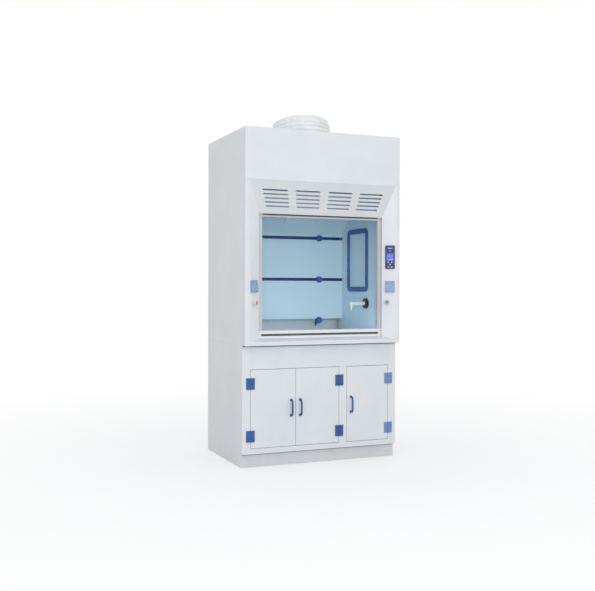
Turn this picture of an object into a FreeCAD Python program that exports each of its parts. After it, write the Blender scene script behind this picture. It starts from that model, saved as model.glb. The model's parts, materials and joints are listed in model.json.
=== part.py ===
"""Ducted fume hood in polypropylene sheet on its base cabinet, as separate pieces.

Millimetres. The origin is on the floor under the middle of the 1200 by 850 footprint,
+X to the user's right, -Y towards the user, +Z up.
"""
import FreeCAD, Part
import math
import os

os.makedirs("parts", exist_ok=True)

# Whole hood
WIDTH = 1200.0
DEPTH = 850.0
HEIGHT = 2350.0
SHEET = 8.0

# Base cabinet
BASE_HEIGHT = 848.0
FACE_SETBACK = 59.0
FACE_THICKNESS = 18.0
PLINTH_HEIGHT = 95.0
PLINTH_SETBACK = 89.0
RECESS_DEPTH = 72.0
STILE_WIDTH = 60.0
LOWER_RAIL = 38.0
UPPER_RAIL = 166.0
DOOR_GAP = 2.5
DOOR_SKIN = 6.0
DIVIDER_THICKNESS = 8.0

# Door furniture
HANDLE_LOWERED = 2.5
HANDLE_LENGTH = 121.0
HANDLE_BAR_RADIUS = 6.5
HANDLE_REACH = 36.0
HANDLE_INSET = 35.0
HANDLE_FOOT_RADIUS = 10.0
HANDLE_FOOT_HEIGHT = 4.0
HANDLE_BEND_SHARE = 0.55
HINGE_RISE = 87.0
HINGE_DROP = 98.0
HINGE_WIDTH = 62.0
HINGE_LENGTH = 79.0
HINGE_LEAF = 4.0
KNUCKLE_RADIUS = 5.5
KNUCKLE_LENGTH = 33.0
KNUCKLE_GAP = 0.6
KNUCKLE_STANDOFF = 0.4
KNUCKLE_ROOM = 0.5
PIN_RADIUS = 2.5
PIN_FIT = 0.05

# Worktop, cup sink and trap
WORKTOP_THICKNESS = 25.0
SINK_FROM_SIDE = 240.0
SINK_FROM_FRONT = 307.0
SINK_LENGTH = 260.0
SINK_WIDTH = 120.0
SINK_DEPTH = 140.0
SINK_WALL = 4.0
SINK_RIM = 12.0
SINK_RIM_HEIGHT = 4.0
SINK_TAPER = 14.0
SINK_CORNER = 36.0
DRAIN_RADIUS = 20.0
DRAIN_WALL = 3.0
TRAP_RADIUS = 36.0
TRAP_HEIGHT = 120.0
TRAP_DROP = 40.0
TRAP_LIP = 4.0
TRAP_SHOULDER = 6.0
TRAP_RING_LOW = 22.0
TRAP_RING_HIGH = 8.0
TRAP_FOOT_RISE = 12.0
WASTE_DROP = 53.0
WASTE_STUB = 45.0
WASTE_NUT = 7.0
WASTE_NUT_LENGTH = 16.0
WASTE_COLLAR = 8.0

# Picture-frame surround
STRIP_WIDTH = 35.0
BEVEL_WIDTH = 83.0
BEVEL_DEPTH = 51.0
FASCIA_HEIGHT = 358.0
VENT_DROP = 229.0
SILL_FACE = 28.0
SILL_RISE = 45.0
LIP_SETBACK = 61.0

# Bypass slots in the sloping panel
SLOT_ROWS = 5
SLOT_FIRST = 70.0
SLOT_PITCH = 28.0
SLOT_HEIGHT = 11.0
SLOT_SPANS = ((0.06, 0.41), (0.52, 0.87))
NEARLY_HALF = 0.49

# Sash, its tracks, cables and weights
SASH_OVERLAP = 17.0
SASH_STILE = 47.0
SASH_THICKNESS = 25.0
SASH_LAP = 25.5
SASH_RAIL = 56.0
SASH_SEAT_GAP = 0.5
SASH_TRAVEL = 540.0
GLASS_THICKNESS = 6.0
GLASS_EDGE = 12.0
GRIP_HEIGHT = 15.0
GRIP_DEPTH = 8.0
GRIP_END = 39.0
GRIP_CENTRE = 25.0
TRACK_WALL = 4.0
TRACK_GAP = 1.0
TRACK_COVER = 15.0
TRACK_SIDE_GAP = 3.0
PULLEY_OUT = 25.0
PULLEY_DROP = 110.0
PULLEY_RADIUS = 60.0
PULLEY_WIDTH = 14.0
PULLEY_RIM = 4.0
PULLEY_GROOVE = 2.0
RIM_SHARE = 0.3
BRACKET_FOOT = 34.0
BRACKET_PLATE = 6.0
BRACKET_SHOULDER = 5.0
BRACKET_PLAY = 0.5
AXLE_RADIUS = 6.0
CABLE_RADIUS = 1.5
LUG_DROP = 188.5
LUG_PLAY = 2.0
LUG_WIDTH = 12.0
LUG_HEIGHT = 24.0
WEIGHT_WIDTH = 44.0
WEIGHT_DEPTH = 66.0
WEIGHT_HEIGHT = 330.0
WEIGHT_HANG = 110.0
WEIGHT_OUT = 6.0
WEIGHT_EDGE = 5.0
WEIGHT_EYE = 12.0
EYE_SEAT = 1.0

# Work chamber
LINER_OFFSET = 3.0
LINER_GAP = 67.0
HEAD_SPACE = 360.0
BAFFLE_GAP = 125.0
BAFFLE_SHEET = 6.0
BAFFLE_RISE = 128.0
BAFFLE_SLOT = 20.0
BAFFLE_SLOT_SHARE = 0.4890625
BAFFLE_STRIP = 38.0
BAFFLE_SLOPE_RISE = 311.0
BAFFLE_TOP_GAP = 15.0
CLAMP_FROM_SIDE = 207.0
CLAMP_UNDER = 10.0
CLAMP_RADIUS = 25.0
CLAMP_DEPTH = 24.0
CLAMP_STUD = 5.0
CLAMP_RIM_SHARE = 0.7
CLAMP_TOP_SHARE = 0.86
GUSSET_WIDTH = 38.0
GUSSET_DROP = 46.0
GUSSET_RISE = 26.0
GUSSET_THICKNESS = 10.0
GUSSET_SEAT = 3.0
ACCESS_FROM_FRONT = 275.0
ACCESS_FROM_BACK = 230.0
ACCESS_RISE = 346.0
ACCESS_DROP = 286.0
ACCESS_BAND = 38.0
ACCESS_RADIUS = 44.0
ACCESS_PROUD = 8.0
ACCESS_LAP = 12.0
LAMP_X = 72.0
LAMP_WIDTH = 256.0
LAMP_HEIGHT = 120.0
LAMP_DEPTH = 14.0
LAMP_SLOPE_AT = 160.0
LAMP_CORNER = 12.0
LAMP_EDGE = 3.0

# Exhaust
DUCT_X = 40.0
DUCT_FROM_BACK = 315.0
DUCT_RADIUS = 224.0
DUCT_RIB = 10.0
DUCT_WALL = 2.5
DUCT_BEND = 340.0
DUCT_ANGLE = 12.5
DUCT_HEADING = 6.0
DUCT_RIBS = 4
CUFF_LENGTH = 32.0
END_CUFF = 24.0
COLLAR_HEIGHT = 38.0
COLLAR_WALL = 4.0
COLLAR_FLANGE = 28.0
FLANGE_SHEET = 6.0
CUFF_START = 7.0
FAN_FROM_BACK = 240.0
FAN_RADIUS = 150.0
FAN_WALL = 4.0
FAN_HEIGHT = 200.0
FAN_BLADES = 7
FAN_TIP_GAP = 3.0
FAN_FLANGE = 26.0
FUNNEL_PANELS = 12
BLADE_ROOT = (44.0, 44.0, 52.0)
BLADE_TIP = (147.0, 78.0, 26.0)
BLADE_HALF = 1.5
HUB_RADIUS = 48.0
HUB_HEIGHT = 60.0
MOTOR_RADIUS = 44.0
MOTOR_HEIGHT = 90.0
MOTOR_RISE = 30.0
MOTOR_EDGE = 8.0
STRUT_RADIUS = 5.0
STRUT_RISE = 20.0
HUB_GAP = 4.0
SHAFT_STEP = 1.0
HUB_SHARE = 0.6

# Services on the bevels and the side walls
PANEL_WIDTH = 70.0
PANEL_RISE = 540.0
PANEL_HEIGHT = 172.0
PANEL_CORNER = 7.0
PANEL_EDGE = 1.5
PANEL_PROUD = 10.0
PANEL_ALONG = 38.0
KEY_RADIUS = 5.0
KEY_PROUD = 1.6
KEY_TRAVEL = 1.0
KEY_FIT = 0.3
KEY_DEPTH = 4.4
KEY_EDGE = 0.8
SOCKET_ALONG = 39.0
SOCKET_RISE = 368.0
SOCKET_HEIGHT = 84.0
SOCKET_CORNER = 5.0
SOCKET_BOX_INSET = 10.0
SOCKET_CUP_SIDE = 15.0
SOCKET_CUP_END = 17.0
SOCKET_CUP_FLOOR = 14.0
SOCKET_CUP_CORNER = 6.0
SOCKET_WIDTH = 70.0
SOCKET_FRAME = 3.0
SOCKET_LID = 9.0
SOCKET_LID_FLARE = 7.0
LID_BROW = 8.0
LID_CHIN = 6.0
LID_BREAK = 1.0
SOCKET_DEPTH = 40.0
LID_BARREL = 3.5
LID_GAP = 0.4
LID_PIN = 1.6
LID_PIN_REACH = 2.0
LID_HINGE_DROP = 4.0
LID_BARREL_END = 11.5
LID_PLAY = 0.5
LID_INSET = 2.0
EAR_END = 3.0
KNOB_RISE = 297.0
GAS_ALONG = 39.0
WATER_ALONG = 58.0
KNOB_RADIUS = 18.5
KNOB_LENGTH = 30.0
KNOB_FOOT_SHARE = 0.8
KNOB_FLARE = 8.0
KNOB_EDGE = 2.0
KNOB_STANDOFF = 0.5
VALVE_RADIUS = 18.0
VALVE_SLEEVE = 16.0
VALVE_BODY = 24.0
VALVE_NECK = 4.0
SPINDLE_RADIUS = 4.0
SPINDLE_BLIND = 2.0
OUTLET_FROM_FRONT = 301.0
OUTLET_RISE = 257.0
FLANGE_RADIUS = 38.0
FLANGE_DEPTH = 20.0
FLANGE_EDGE = 4.0
OUTLET_RADIUS = 15.0
OUTLET_REACH = 148.0
NOZZLE_FROM_END = 20.0
NOZZLE_ROOT = 3.0
WATER_NOZZLE = (
    (9.0, 0.0), (9.0, 16.0), (6.0, 20.0), (6.8, 26.0), (5.2, 26.0),
    (6.0, 33.0), (4.6, 33.0), (5.0, 42.0),
)
GAS_NOZZLE = (
    (12.0, 20.0), (12.0, 46.0), (7.0, 50.0), (7.8, 58.0), (6.2, 58.0),
    (7.0, 67.0), (5.4, 67.0), (5.8, 78.0),
)
TAIL_LENGTH = 40.0
PIPE_RADIUS = 7.5
PIPE_FROM_SIDE = 60.0
PIPE_FIT = 0.1
PIPE_END_Z = 200.0
PIPE_NUT = 4.0
PIPE_NUT_LENGTH = 22.0
PIPE_UNDER_VALVE = 8.0
STUB_LENGTH = 40.0
PIPE_DROP = 60.0
GLAND_FROM_SIDE = 180.0
GLAND_FROM_BACK = 95.0
GLAND_RADIUS = 14.0
GLAND_BORE = 8.0
GLAND_HEIGHT = 30.0
GLAND_NUT = 6.0
GLAND_NUT_HEIGHT = 8.0
GLAND_TAPER = 2.0
KEY_SPREAD = 12.0
KEY_PITCH = 18.0
KEY_BASE = 13.0
SCREEN_MARGIN = 8.0
SCREEN_TOP = 12.0
SCREEN_HEIGHT = 84.0
SCREEN_CORNER = 3.0
SCREEN_DEPTH = 2.5

# Values that follow from those above
SIDE = WIDTH / 2
FRONT = -DEPTH / 2
BACK = DEPTH / 2
FRONT_IN = FRONT + SHEET
BACK_IN = BACK - SHEET
INNER = SIDE - SHEET
FACE_Y = FRONT + FACE_SETBACK
FACE_BACK = FACE_Y + FACE_THICKNESS
PLINTH_Y = FRONT + PLINTH_SETBACK
BASE_BACK_Y = BACK - RECESS_DEPTH
BASE_FLOOR_TOP = PLINTH_HEIGHT + SHEET
WORKTOP_Z = BASE_HEIGHT + WORKTOP_THICKNESS
DOOR_WIDTH = (WIDTH - 3 * STILE_WIDTH) / 3
DOOR_BOTTOM = PLINTH_HEIGHT + LOWER_RAIL
DOOR_TOP = BASE_HEIGHT - UPPER_RAIL
HANDLE_CENTRE_Z = (DOOR_BOTTOM + DOOR_TOP) / 2 - HANDLE_LOWERED
HINGE_HEIGHTS = (DOOR_BOTTOM + HINGE_RISE, DOOR_TOP - HINGE_DROP)
SINK_X = SIDE - SINK_FROM_SIDE
SINK_Y = FRONT + SINK_FROM_FRONT
TRAP_TOP = WORKTOP_Z - SINK_DEPTH - TRAP_DROP
WASTE_Z = TRAP_TOP - WASTE_DROP
ROOF_UNDER = HEIGHT - SHEET
STRIP_X = SIDE - STRIP_WIDTH
OPENING_X = STRIP_X - BEVEL_WIDTH
BEVEL_Y = FRONT + BEVEL_DEPTH
BEVEL_LENGTH = math.hypot(BEVEL_WIDTH, BEVEL_DEPTH)
VENT_TOP = HEIGHT - FASCIA_HEIGHT
VENT_BOTTOM = VENT_TOP - VENT_DROP
SILL_FACE_TOP = BASE_HEIGHT + SILL_FACE
SILL_TOP = BASE_HEIGHT + SILL_RISE
SLANT = math.hypot(VENT_DROP, BEVEL_DEPTH)
LIP_Y = FRONT + LIP_SETBACK
SASH_HALF = OPENING_X + SASH_OVERLAP
TRACK_FRONT = LIP_Y
SASH_FRONT = TRACK_FRONT + TRACK_WALL + TRACK_GAP
SASH_BACK = SASH_FRONT + SASH_THICKNESS
TRACK_BACK = SASH_BACK + TRACK_GAP + TRACK_WALL
TRACK_WEB = SASH_HALF + TRACK_SIDE_GAP
TRACK_OUT = TRACK_WEB + TRACK_WALL
TRACK_EDGE = SASH_HALF - TRACK_COVER
SASH_BOTTOM = SILL_TOP + SASH_SEAT_GAP
SASH_TOP = VENT_BOTTOM + SASH_LAP
GRIP_HALF = SASH_HALF - GRIP_END
PULLEY_X = SASH_HALF + PULLEY_OUT
PULLEY_Z = HEIGHT - PULLEY_DROP
LUG_Z = SASH_TOP - LUG_DROP
WEIGHT_TOP = PULLEY_Z - WEIGHT_HANG
CABLE_Y = (SASH_FRONT + SASH_BACK) / 2
WEIGHT_Y = CABLE_Y + 2 * PULLEY_RADIUS
LINER_FACE = OPENING_X + LINER_OFFSET
LINER_OUT = LINER_FACE + SHEET
LINER_BACK_Y = BACK - LINER_GAP
CEILING_Z = HEIGHT - HEAD_SPACE
CEILING_TOP = CEILING_Z + SHEET
PIPE_X = SIDE - PIPE_FROM_SIDE
PIPE_Y = (LINER_BACK_Y + SHEET + BACK_IN) / 2
BAFFLE_Y = BACK - BAFFLE_GAP
BAFFLE_BOTTOM = WORKTOP_Z + BAFFLE_RISE
BAFFLE_BEND_Z = CEILING_Z - BAFFLE_SLOPE_RISE
UPPER_SLOT_Z = BAFFLE_BEND_Z - BAFFLE_STRIP
LOWER_SLOT_Z = BAFFLE_BOTTOM + BAFFLE_SLOT_SHARE * (UPPER_SLOT_Z - BAFFLE_BOTTOM)
CLAMP_X = LINER_FACE - CLAMP_FROM_SIDE
CLAMP_HEIGHTS = (BAFFLE_BOTTOM - CLAMP_UNDER, LOWER_SLOT_Z, UPPER_SLOT_Z)
ACCESS_Y = (FRONT + ACCESS_FROM_FRONT, BACK - ACCESS_FROM_BACK)
ACCESS_Z = (WORKTOP_Z + ACCESS_RISE, CEILING_Z - ACCESS_DROP)
DUCT_Y = BACK - DUCT_FROM_BACK
FAN_Y = BACK - FAN_FROM_BACK
DUCT_BORE = DUCT_RADIUS - DUCT_RIB
COLLAR_BORE = DUCT_BORE - COLLAR_WALL
PANEL_BOTTOM = BASE_HEIGHT + PANEL_RISE
PANEL_TOP = PANEL_BOTTOM + PANEL_HEIGHT
SOCKET_BOTTOM = BASE_HEIGHT + SOCKET_RISE
SOCKET_MIDDLE = SOCKET_BOTTOM + SOCKET_HEIGHT / 2
LID_AXIS_Y = SOCKET_HEIGHT / 2 - LID_HINGE_DROP
LID_AXIS_Z = SOCKET_FRAME + LID_BARREL + LID_GAP
BARREL_HALF = SOCKET_WIDTH / 2 - LID_BARREL_END
KNOB_Z = BASE_HEIGHT + KNOB_RISE
OUTLET_Y = FRONT + OUTLET_FROM_FRONT
OUTLET_Z = WORKTOP_Z + OUTLET_RISE
GLAND_X = GLAND_FROM_SIDE - SIDE
GLAND_Y = BACK - GLAND_FROM_BACK
RIGHT_STILE = STILE_WIDTH + DOOR_WIDTH
DOOR_EDGES = {
    "left": (STILE_WIDTH - SIDE, STILE_WIDTH - SIDE + DOOR_WIDTH),
    "middle": (STILE_WIDTH - SIDE + DOOR_WIDTH, STILE_WIDTH - SIDE + 2 * DOOR_WIDTH),
    "right": (SIDE - RIGHT_STILE, SIDE - STILE_WIDTH),
}
DIVIDER_X = (DOOR_EDGES["middle"][1] + DOOR_EDGES["right"][0]) / 2


def V(x, y, z):
    return FreeCAD.Vector(x, y, z)


X_WAY = V(1, 0, 0)
Y_WAY = V(0, 1, 0)
Z_WAY = V(0, 0, 1)


def block(x0, x1, y0, y1, z0, z1):
    return Part.makeBox(x1 - x0, y1 - y0, z1 - z0, V(x0, y0, z0))


def rod(radius, start, end):
    way = end - start
    return Part.makeCylinder(radius, way.Length, start, way)


def tube(outer, inner, start, end):
    return rod(outer, start, end).cut(rod(inner, start, end))


def plate(points, way):
    """A flat outline pushed along a vector."""
    return Part.Face(Part.makePolygon(points + points[:1])).extrude(way)


def along_x(outline, x0, x1):
    return plate([V(x0, y, z) for y, z in outline], V(x1 - x0, 0, 0))


def along_y(outline, y0, y1):
    return plate([V(x, y0, z) for x, z in outline], V(0, y1 - y0, 0))


def along_z(outline, z0, z1):
    return plate([V(x, y, z0) for x, y in outline], V(0, 0, z1 - z0))


def mirrored(shape):
    return shape.mirror(V(0, 0, 0), X_WAY)


def pair(shape):
    """A piece on the right and its mirror image on the left."""
    return [shape, mirrored(shape)]


def fused(first, *others):
    return first.fuse(list(others)).removeSplitter()


def turned(outline, centre, way=Z_WAY):
    """Revolve an outline of (radius, height) points about an axis through centre."""
    points = [V(radius, 0, height) for radius, height in outline]
    face = Part.Face(Part.makePolygon(points + points[:1]))
    solid = face.revolve(V(0, 0, 0), Z_WAY, 360)
    return placed(solid, centre, way)


def placed(solid, at, way):
    """Move a solid made at the origin along +Z to a place, its axis along a vector."""
    spin = FreeCAD.Rotation(Z_WAY, way)
    moved = solid.copy()
    moved.Placement = FreeCAD.Placement(at, spin).multiply(solid.Placement)
    return moved


def rounded(width, height, radius):
    """A rectangle with rounded corners, centred in the XY plane, as a wire."""
    x = width / 2
    y = height / 2
    turn = radius * (1 - math.sqrt(0.5))
    corners = ((x, -y, 1, -1), (x, y, 1, 1), (-x, y, -1, 1), (-x, -y, -1, -1))
    edges = []
    ends = []
    for cx, cy, sx, sy in corners:
        flat = V(cx - sx * radius, cy, 0)
        upright = V(cx, cy - sy * radius, 0)
        middle = V(cx - sx * turn, cy - sy * turn, 0)
        start, end = (flat, upright) if sx * sy < 0 else (upright, flat)
        ends.append((start, middle, end))
    for i, (start, middle, end) in enumerate(ends):
        edges.append(Part.Arc(start, middle, end).toShape())
        after = ends[(i + 1) % 4][0]
        if (after - end).Length > 1e-6:
            edges.append(Part.LineSegment(end, after).toShape())
    return Part.Wire(edges)


def rounded_plate(width, height, radius, thickness):
    return Part.Face(rounded(width, height, radius)).extrude(V(0, 0, thickness))


def on_side_wall(solid, x, y, z):
    """Stand a plate made in the XY plane on a wall facing +X: its X to Y, its Y to Z."""
    moved = solid.copy()
    spin = FreeCAD.Rotation(Y_WAY, Z_WAY, X_WAY, "ZXY")
    moved.Placement = FreeCAD.Placement(V(x, y, z), spin).multiply(solid.Placement)
    return moved


class Bevel:
    """One bevelled post face: places on it, its way across and its outward normal."""

    def __init__(self, side):
        self.side = side
        self.across = V(-side * BEVEL_WIDTH, BEVEL_DEPTH, 0) / BEVEL_LENGTH
        self.out = V(-side * BEVEL_DEPTH, -BEVEL_WIDTH, 0) / BEVEL_LENGTH

    def at(self, along, z, proud=0.0):
        edge = V(self.side * STRIP_X, FRONT, z)
        return edge + self.across * along + self.out * proud

    def stand(self, solid, along, z, proud=0.0):
        """Place a plate made in the XY plane flat on the bevel, its Z outwards."""
        moved = solid.copy()
        spin = FreeCAD.Rotation(self.across * -self.side, Z_WAY, self.out, "ZXY")
        place = FreeCAD.Placement(self.at(along, z, proud), spin)
        moved.Placement = place.multiply(solid.Placement)
        return moved


RIGHT = Bevel(1)
LEFT = Bevel(-1)


def save(node, *solids):
    flat = [solid for shape in solids for solid in shape.Solids]
    whole = flat[0] if len(flat) == 1 else Part.makeCompound(flat)
    whole.exportStep("parts/" + node + ".step")


# Base cabinet

def base_cabinet():
    side = along_x(
        [
            (PLINTH_Y, 0), (BACK, 0), (BACK, BASE_HEIGHT), (FACE_BACK, BASE_HEIGHT),
            (FACE_BACK, PLINTH_HEIGHT), (PLINTH_Y, PLINTH_HEIGHT),
        ],
        INNER, SIDE,
    )
    save("base_sides", *pair(side))
    waste = rod(DRAIN_RADIUS, V(SINK_X, 0, WASTE_Z), V(SINK_X, BACK, WASTE_Z))
    back = block(-INNER, INNER, BASE_BACK_Y - SHEET, BASE_BACK_Y, PLINTH_HEIGHT, BASE_HEIGHT)
    save("base_back", back.cut(waste))
    back_edge = BASE_BACK_Y - SHEET
    save("base_floor", block(-INNER, INNER, FACE_BACK, back_edge, PLINTH_HEIGHT, BASE_FLOOR_TOP))
    save("base_plinth", block(-INNER, INNER, PLINTH_Y, PLINTH_Y + SHEET, 0, PLINTH_HEIGHT))
    half = DIVIDER_THICKNESS / 2
    divider = block(
        DIVIDER_X - half, DIVIDER_X + half, FACE_BACK, back_edge, BASE_FLOOR_TOP, BASE_HEIGHT
    )
    save("base_divider", divider)
    face = [
        block(-SIDE, SIDE, FACE_Y, FACE_BACK, PLINTH_HEIGHT, DOOR_BOTTOM),
        block(-SIDE, SIDE, FACE_Y, FACE_BACK, DOOR_TOP, BASE_HEIGHT),
    ]
    stiles = (
        (-SIDE, DOOR_EDGES["left"][0]),
        (DOOR_EDGES["middle"][1], DOOR_EDGES["right"][0]),
        (DOOR_EDGES["right"][1], SIDE),
    )
    for x0, x1 in stiles:
        face.append(block(x0, x1, FACE_Y, FACE_BACK, DOOR_BOTTOM, DOOR_TOP))
    save("base_face_frame", *face)


def door_pan(name):
    """A door folded from sheet: a front skin with a return edge all round."""
    low, high = DOOR_EDGES[name]
    paired = {"left": (1, 0.5), "middle": (0.5, 1), "right": (1, 1)}[name]
    x0 = low + DOOR_GAP * paired[0]
    x1 = high - DOOR_GAP * paired[1]
    z0 = DOOR_BOTTOM + DOOR_GAP
    z1 = DOOR_TOP - DOOR_GAP
    pan = block(x0, x1, FACE_Y, FACE_BACK, z0, z1)
    hollow = block(
        x0 + DOOR_SKIN, x1 - DOOR_SKIN, FACE_Y + DOOR_SKIN, FACE_BACK,
        z0 + DOOR_SKIN, z1 - DOOR_SKIN,
    )
    return pan.cut(hollow)


def bow_handle(x):
    """A round bar bent to a D, standing on two round feet."""
    half = HANDLE_LENGTH / 2 - HANDLE_BAR_RADIUS
    bend = HANDLE_REACH * HANDLE_BEND_SHARE
    reach = FACE_Y - HANDLE_REACH + HANDLE_BAR_RADIUS
    turn = bend * (1 - math.sqrt(0.5))
    low = HANDLE_CENTRE_Z - half
    high = HANDLE_CENTRE_Z + half
    low_out = V(x, reach + bend, low)
    low_up = V(x, reach, low + bend)
    high_up = V(x, reach, high - bend)
    high_out = V(x, reach + bend, high)
    edges = [
        Part.LineSegment(V(x, FACE_Y, low), low_out).toShape(),
        Part.Arc(low_out, V(x, reach + turn, low + turn), low_up).toShape(),
        Part.LineSegment(low_up, high_up).toShape(),
        Part.Arc(high_up, V(x, reach + turn, high - turn), high_out).toShape(),
        Part.LineSegment(high_out, V(x, FACE_Y, high)).toShape(),
    ]
    start = Part.Wire([Part.Circle(V(x, FACE_Y, low), Y_WAY, HANDLE_BAR_RADIUS).toShape()])
    bar = Part.Wire(edges).makePipeShell([start], True, False)
    feet = []
    for z in (low, high):
        foot = V(x, FACE_Y, z)
        feet.append(rod(HANDLE_FOOT_RADIUS, foot, foot - V(0, HANDLE_FOOT_HEIGHT, 0)))
    return fused(bar, *feet)


def hinge(edge, way, z):
    """One butt hinge on the front: frame leaf with its pin, and door leaf.

    way is +1 where the door lies to the right of its hinge and -1 to the left.
    """
    axis_y = FACE_Y - KNUCKLE_RADIUS - KNUCKLE_STANDOFF
    half = HINGE_LENGTH / 2
    reach = HINGE_WIDTH / 2
    clear = DOOR_GAP / 2
    middle = KNUCKLE_LENGTH / 2
    axis_low = V(edge, axis_y, z - half)
    axis_high = V(edge, axis_y, z + half)
    inner_low = V(edge, axis_y, z - middle)
    inner_high = V(edge, axis_y, z + middle)
    gap = V(0, 0, KNUCKLE_GAP)
    room = KNUCKLE_RADIUS + PIN_FIT + KNUCKLE_ROOM
    web_back = axis_y + HINGE_LEAF / 2
    low_x, high_x = sorted((edge - way * clear, edge - way * reach))
    frame_leaf = block(low_x, high_x, FACE_Y - HINGE_LEAF, FACE_Y, z - half, z + half)
    web = block(*sorted((edge, edge - way * reach)), axis_y, web_back, z - half, z + half)
    frame_leaf = fused(frame_leaf, web, rod(KNUCKLE_RADIUS, axis_low, axis_high))
    frame_leaf = frame_leaf.cut(rod(room, inner_low - gap, inner_high + gap))
    pin = rod(PIN_RADIUS, inner_low - gap, inner_high + gap)
    low_x, high_x = sorted((edge + way * clear, edge + way * reach))
    door_leaf = block(low_x, high_x, FACE_Y - HINGE_LEAF, FACE_Y, z - half, z + half)
    web = block(*sorted((edge, edge + way * reach)), axis_y, web_back, z - half, z + half)
    door_leaf = fused(door_leaf, web, rod(KNUCKLE_RADIUS, axis_low, axis_high))
    for start, end in ((axis_low, inner_low), (inner_high, axis_high)):
        door_leaf = door_leaf.cut(rod(room, start, end))
    door_leaf = door_leaf.cut(rod(PIN_RADIUS + PIN_FIT, inner_low, inner_high))
    return fused(frame_leaf, pin), door_leaf


def doors():
    hinged = {"left": (DOOR_EDGES["left"][0], 1), "middle": (DOOR_EDGES["middle"][1], -1)}
    hinged["right"] = (DOOR_EDGES["right"][1], -1)
    frame_leaves = []
    for name, (edge, way) in hinged.items():
        save("door_" + name, door_pan(name))
        far = DOOR_EDGES[name][1] if way > 0 else DOOR_EDGES[name][0]
        save("handle_" + name, bow_handle(far - way * HANDLE_INSET))
        leaves = [hinge(edge, way, z) for z in HINGE_HEIGHTS]
        frame_leaves += [leaf for leaf, _ in leaves]
        save("hinge_leaves_" + name, *[leaf for _, leaf in leaves])
    save("hinge_frame_leaves", *frame_leaves)


# Worktop, sink and trap

def sink_body(grow):
    """The tapered bowl as a solid, its wall faces moved out by grow."""
    top = rounded(SINK_WIDTH + 2 * grow, SINK_LENGTH + 2 * grow, SINK_CORNER + grow)
    narrow = 2 * grow - 2 * SINK_TAPER
    small = rounded(SINK_WIDTH + narrow, SINK_LENGTH + narrow, SINK_CORNER)
    top.translate(V(SINK_X, SINK_Y, WORKTOP_Z + SINK_RIM_HEIGHT))
    small.translate(V(SINK_X, SINK_Y, WORKTOP_Z - SINK_DEPTH - grow))
    return Part.makeLoft([top, small], True, True)


def worktop_and_sink():
    outer = sink_body(SINK_WALL)
    slab = block(-INNER, INNER, FRONT_IN, BACK_IN, BASE_HEIGHT, WORKTOP_Z)
    for x in (-PIPE_X, PIPE_X):
        slab = slab.cut(rod(PIPE_RADIUS, V(x, PIPE_Y, 0), V(x, PIPE_Y, HEIGHT)))
    save("worktop", slab.cut(outer))
    rim = rounded_plate(
        SINK_WIDTH + 2 * SINK_RIM + 2 * SINK_WALL,
        SINK_LENGTH + 2 * SINK_RIM + 2 * SINK_WALL,
        SINK_CORNER + SINK_RIM + SINK_WALL,
        SINK_RIM_HEIGHT,
    )
    rim.translate(V(SINK_X, SINK_Y, WORKTOP_Z))
    bottom = WORKTOP_Z - SINK_DEPTH
    drain_top = V(SINK_X, SINK_Y, bottom)
    drain_end = V(SINK_X, SINK_Y, TRAP_TOP)
    bowl = fused(outer, rim, rod(DRAIN_RADIUS, drain_top, drain_end))
    bowl = bowl.cut(sink_body(0)).cut(rod(DRAIN_RADIUS - DRAIN_WALL, drain_top + Z_WAY, drain_end))
    save("cup_sink", bowl)
    drain_trap()


def drain_trap():
    """A bottle trap hung on the drain, with its outlet run through the back to a stub."""
    foot = TRAP_TOP - TRAP_HEIGHT
    ring_low = TRAP_TOP - TRAP_RING_LOW
    ring_high = TRAP_TOP - TRAP_RING_HIGH
    cup = [
        (0, foot), (TRAP_RADIUS - TRAP_FOOT_RISE, foot), (TRAP_RADIUS, foot + TRAP_FOOT_RISE),
        (TRAP_RADIUS, ring_low), (TRAP_RADIUS + TRAP_LIP, ring_low),
        (TRAP_RADIUS + TRAP_LIP, ring_high), (TRAP_RADIUS - TRAP_SHOULDER, TRAP_TOP), (0, TRAP_TOP),
    ]
    body = turned(cup, V(SINK_X, SINK_Y, 0))
    start = V(SINK_X, SINK_Y, WASTE_Z)
    wall = V(SINK_X, BASE_BACK_Y - SHEET, WASTE_Z)
    outside = V(SINK_X, BASE_BACK_Y, WASTE_Z)
    collar_end = outside + Y_WAY * WASTE_COLLAR
    end = collar_end + Y_WAY * WASTE_STUB
    nut = rod(DRAIN_RADIUS + WASTE_NUT, wall - Y_WAY * WASTE_NUT_LENGTH, wall)
    collar = rod(DRAIN_RADIUS + WASTE_NUT, outside, collar_end)
    body = fused(body, rod(DRAIN_RADIUS, start, end), nut, collar)
    bore = rod(DRAIN_RADIUS - DRAIN_WALL, start, end)
    well_low = V(SINK_X, SINK_Y, foot + TRAP_FOOT_RISE + DRAIN_WALL)
    well_high = V(SINK_X, SINK_Y, TRAP_TOP - TRAP_SHOULDER - DRAIN_WALL)
    save("drain_trap", body.cut(bore).cut(rod(TRAP_RADIUS - DRAIN_WALL, well_low, well_high)))


# Hood shell and its picture-frame surround

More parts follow.
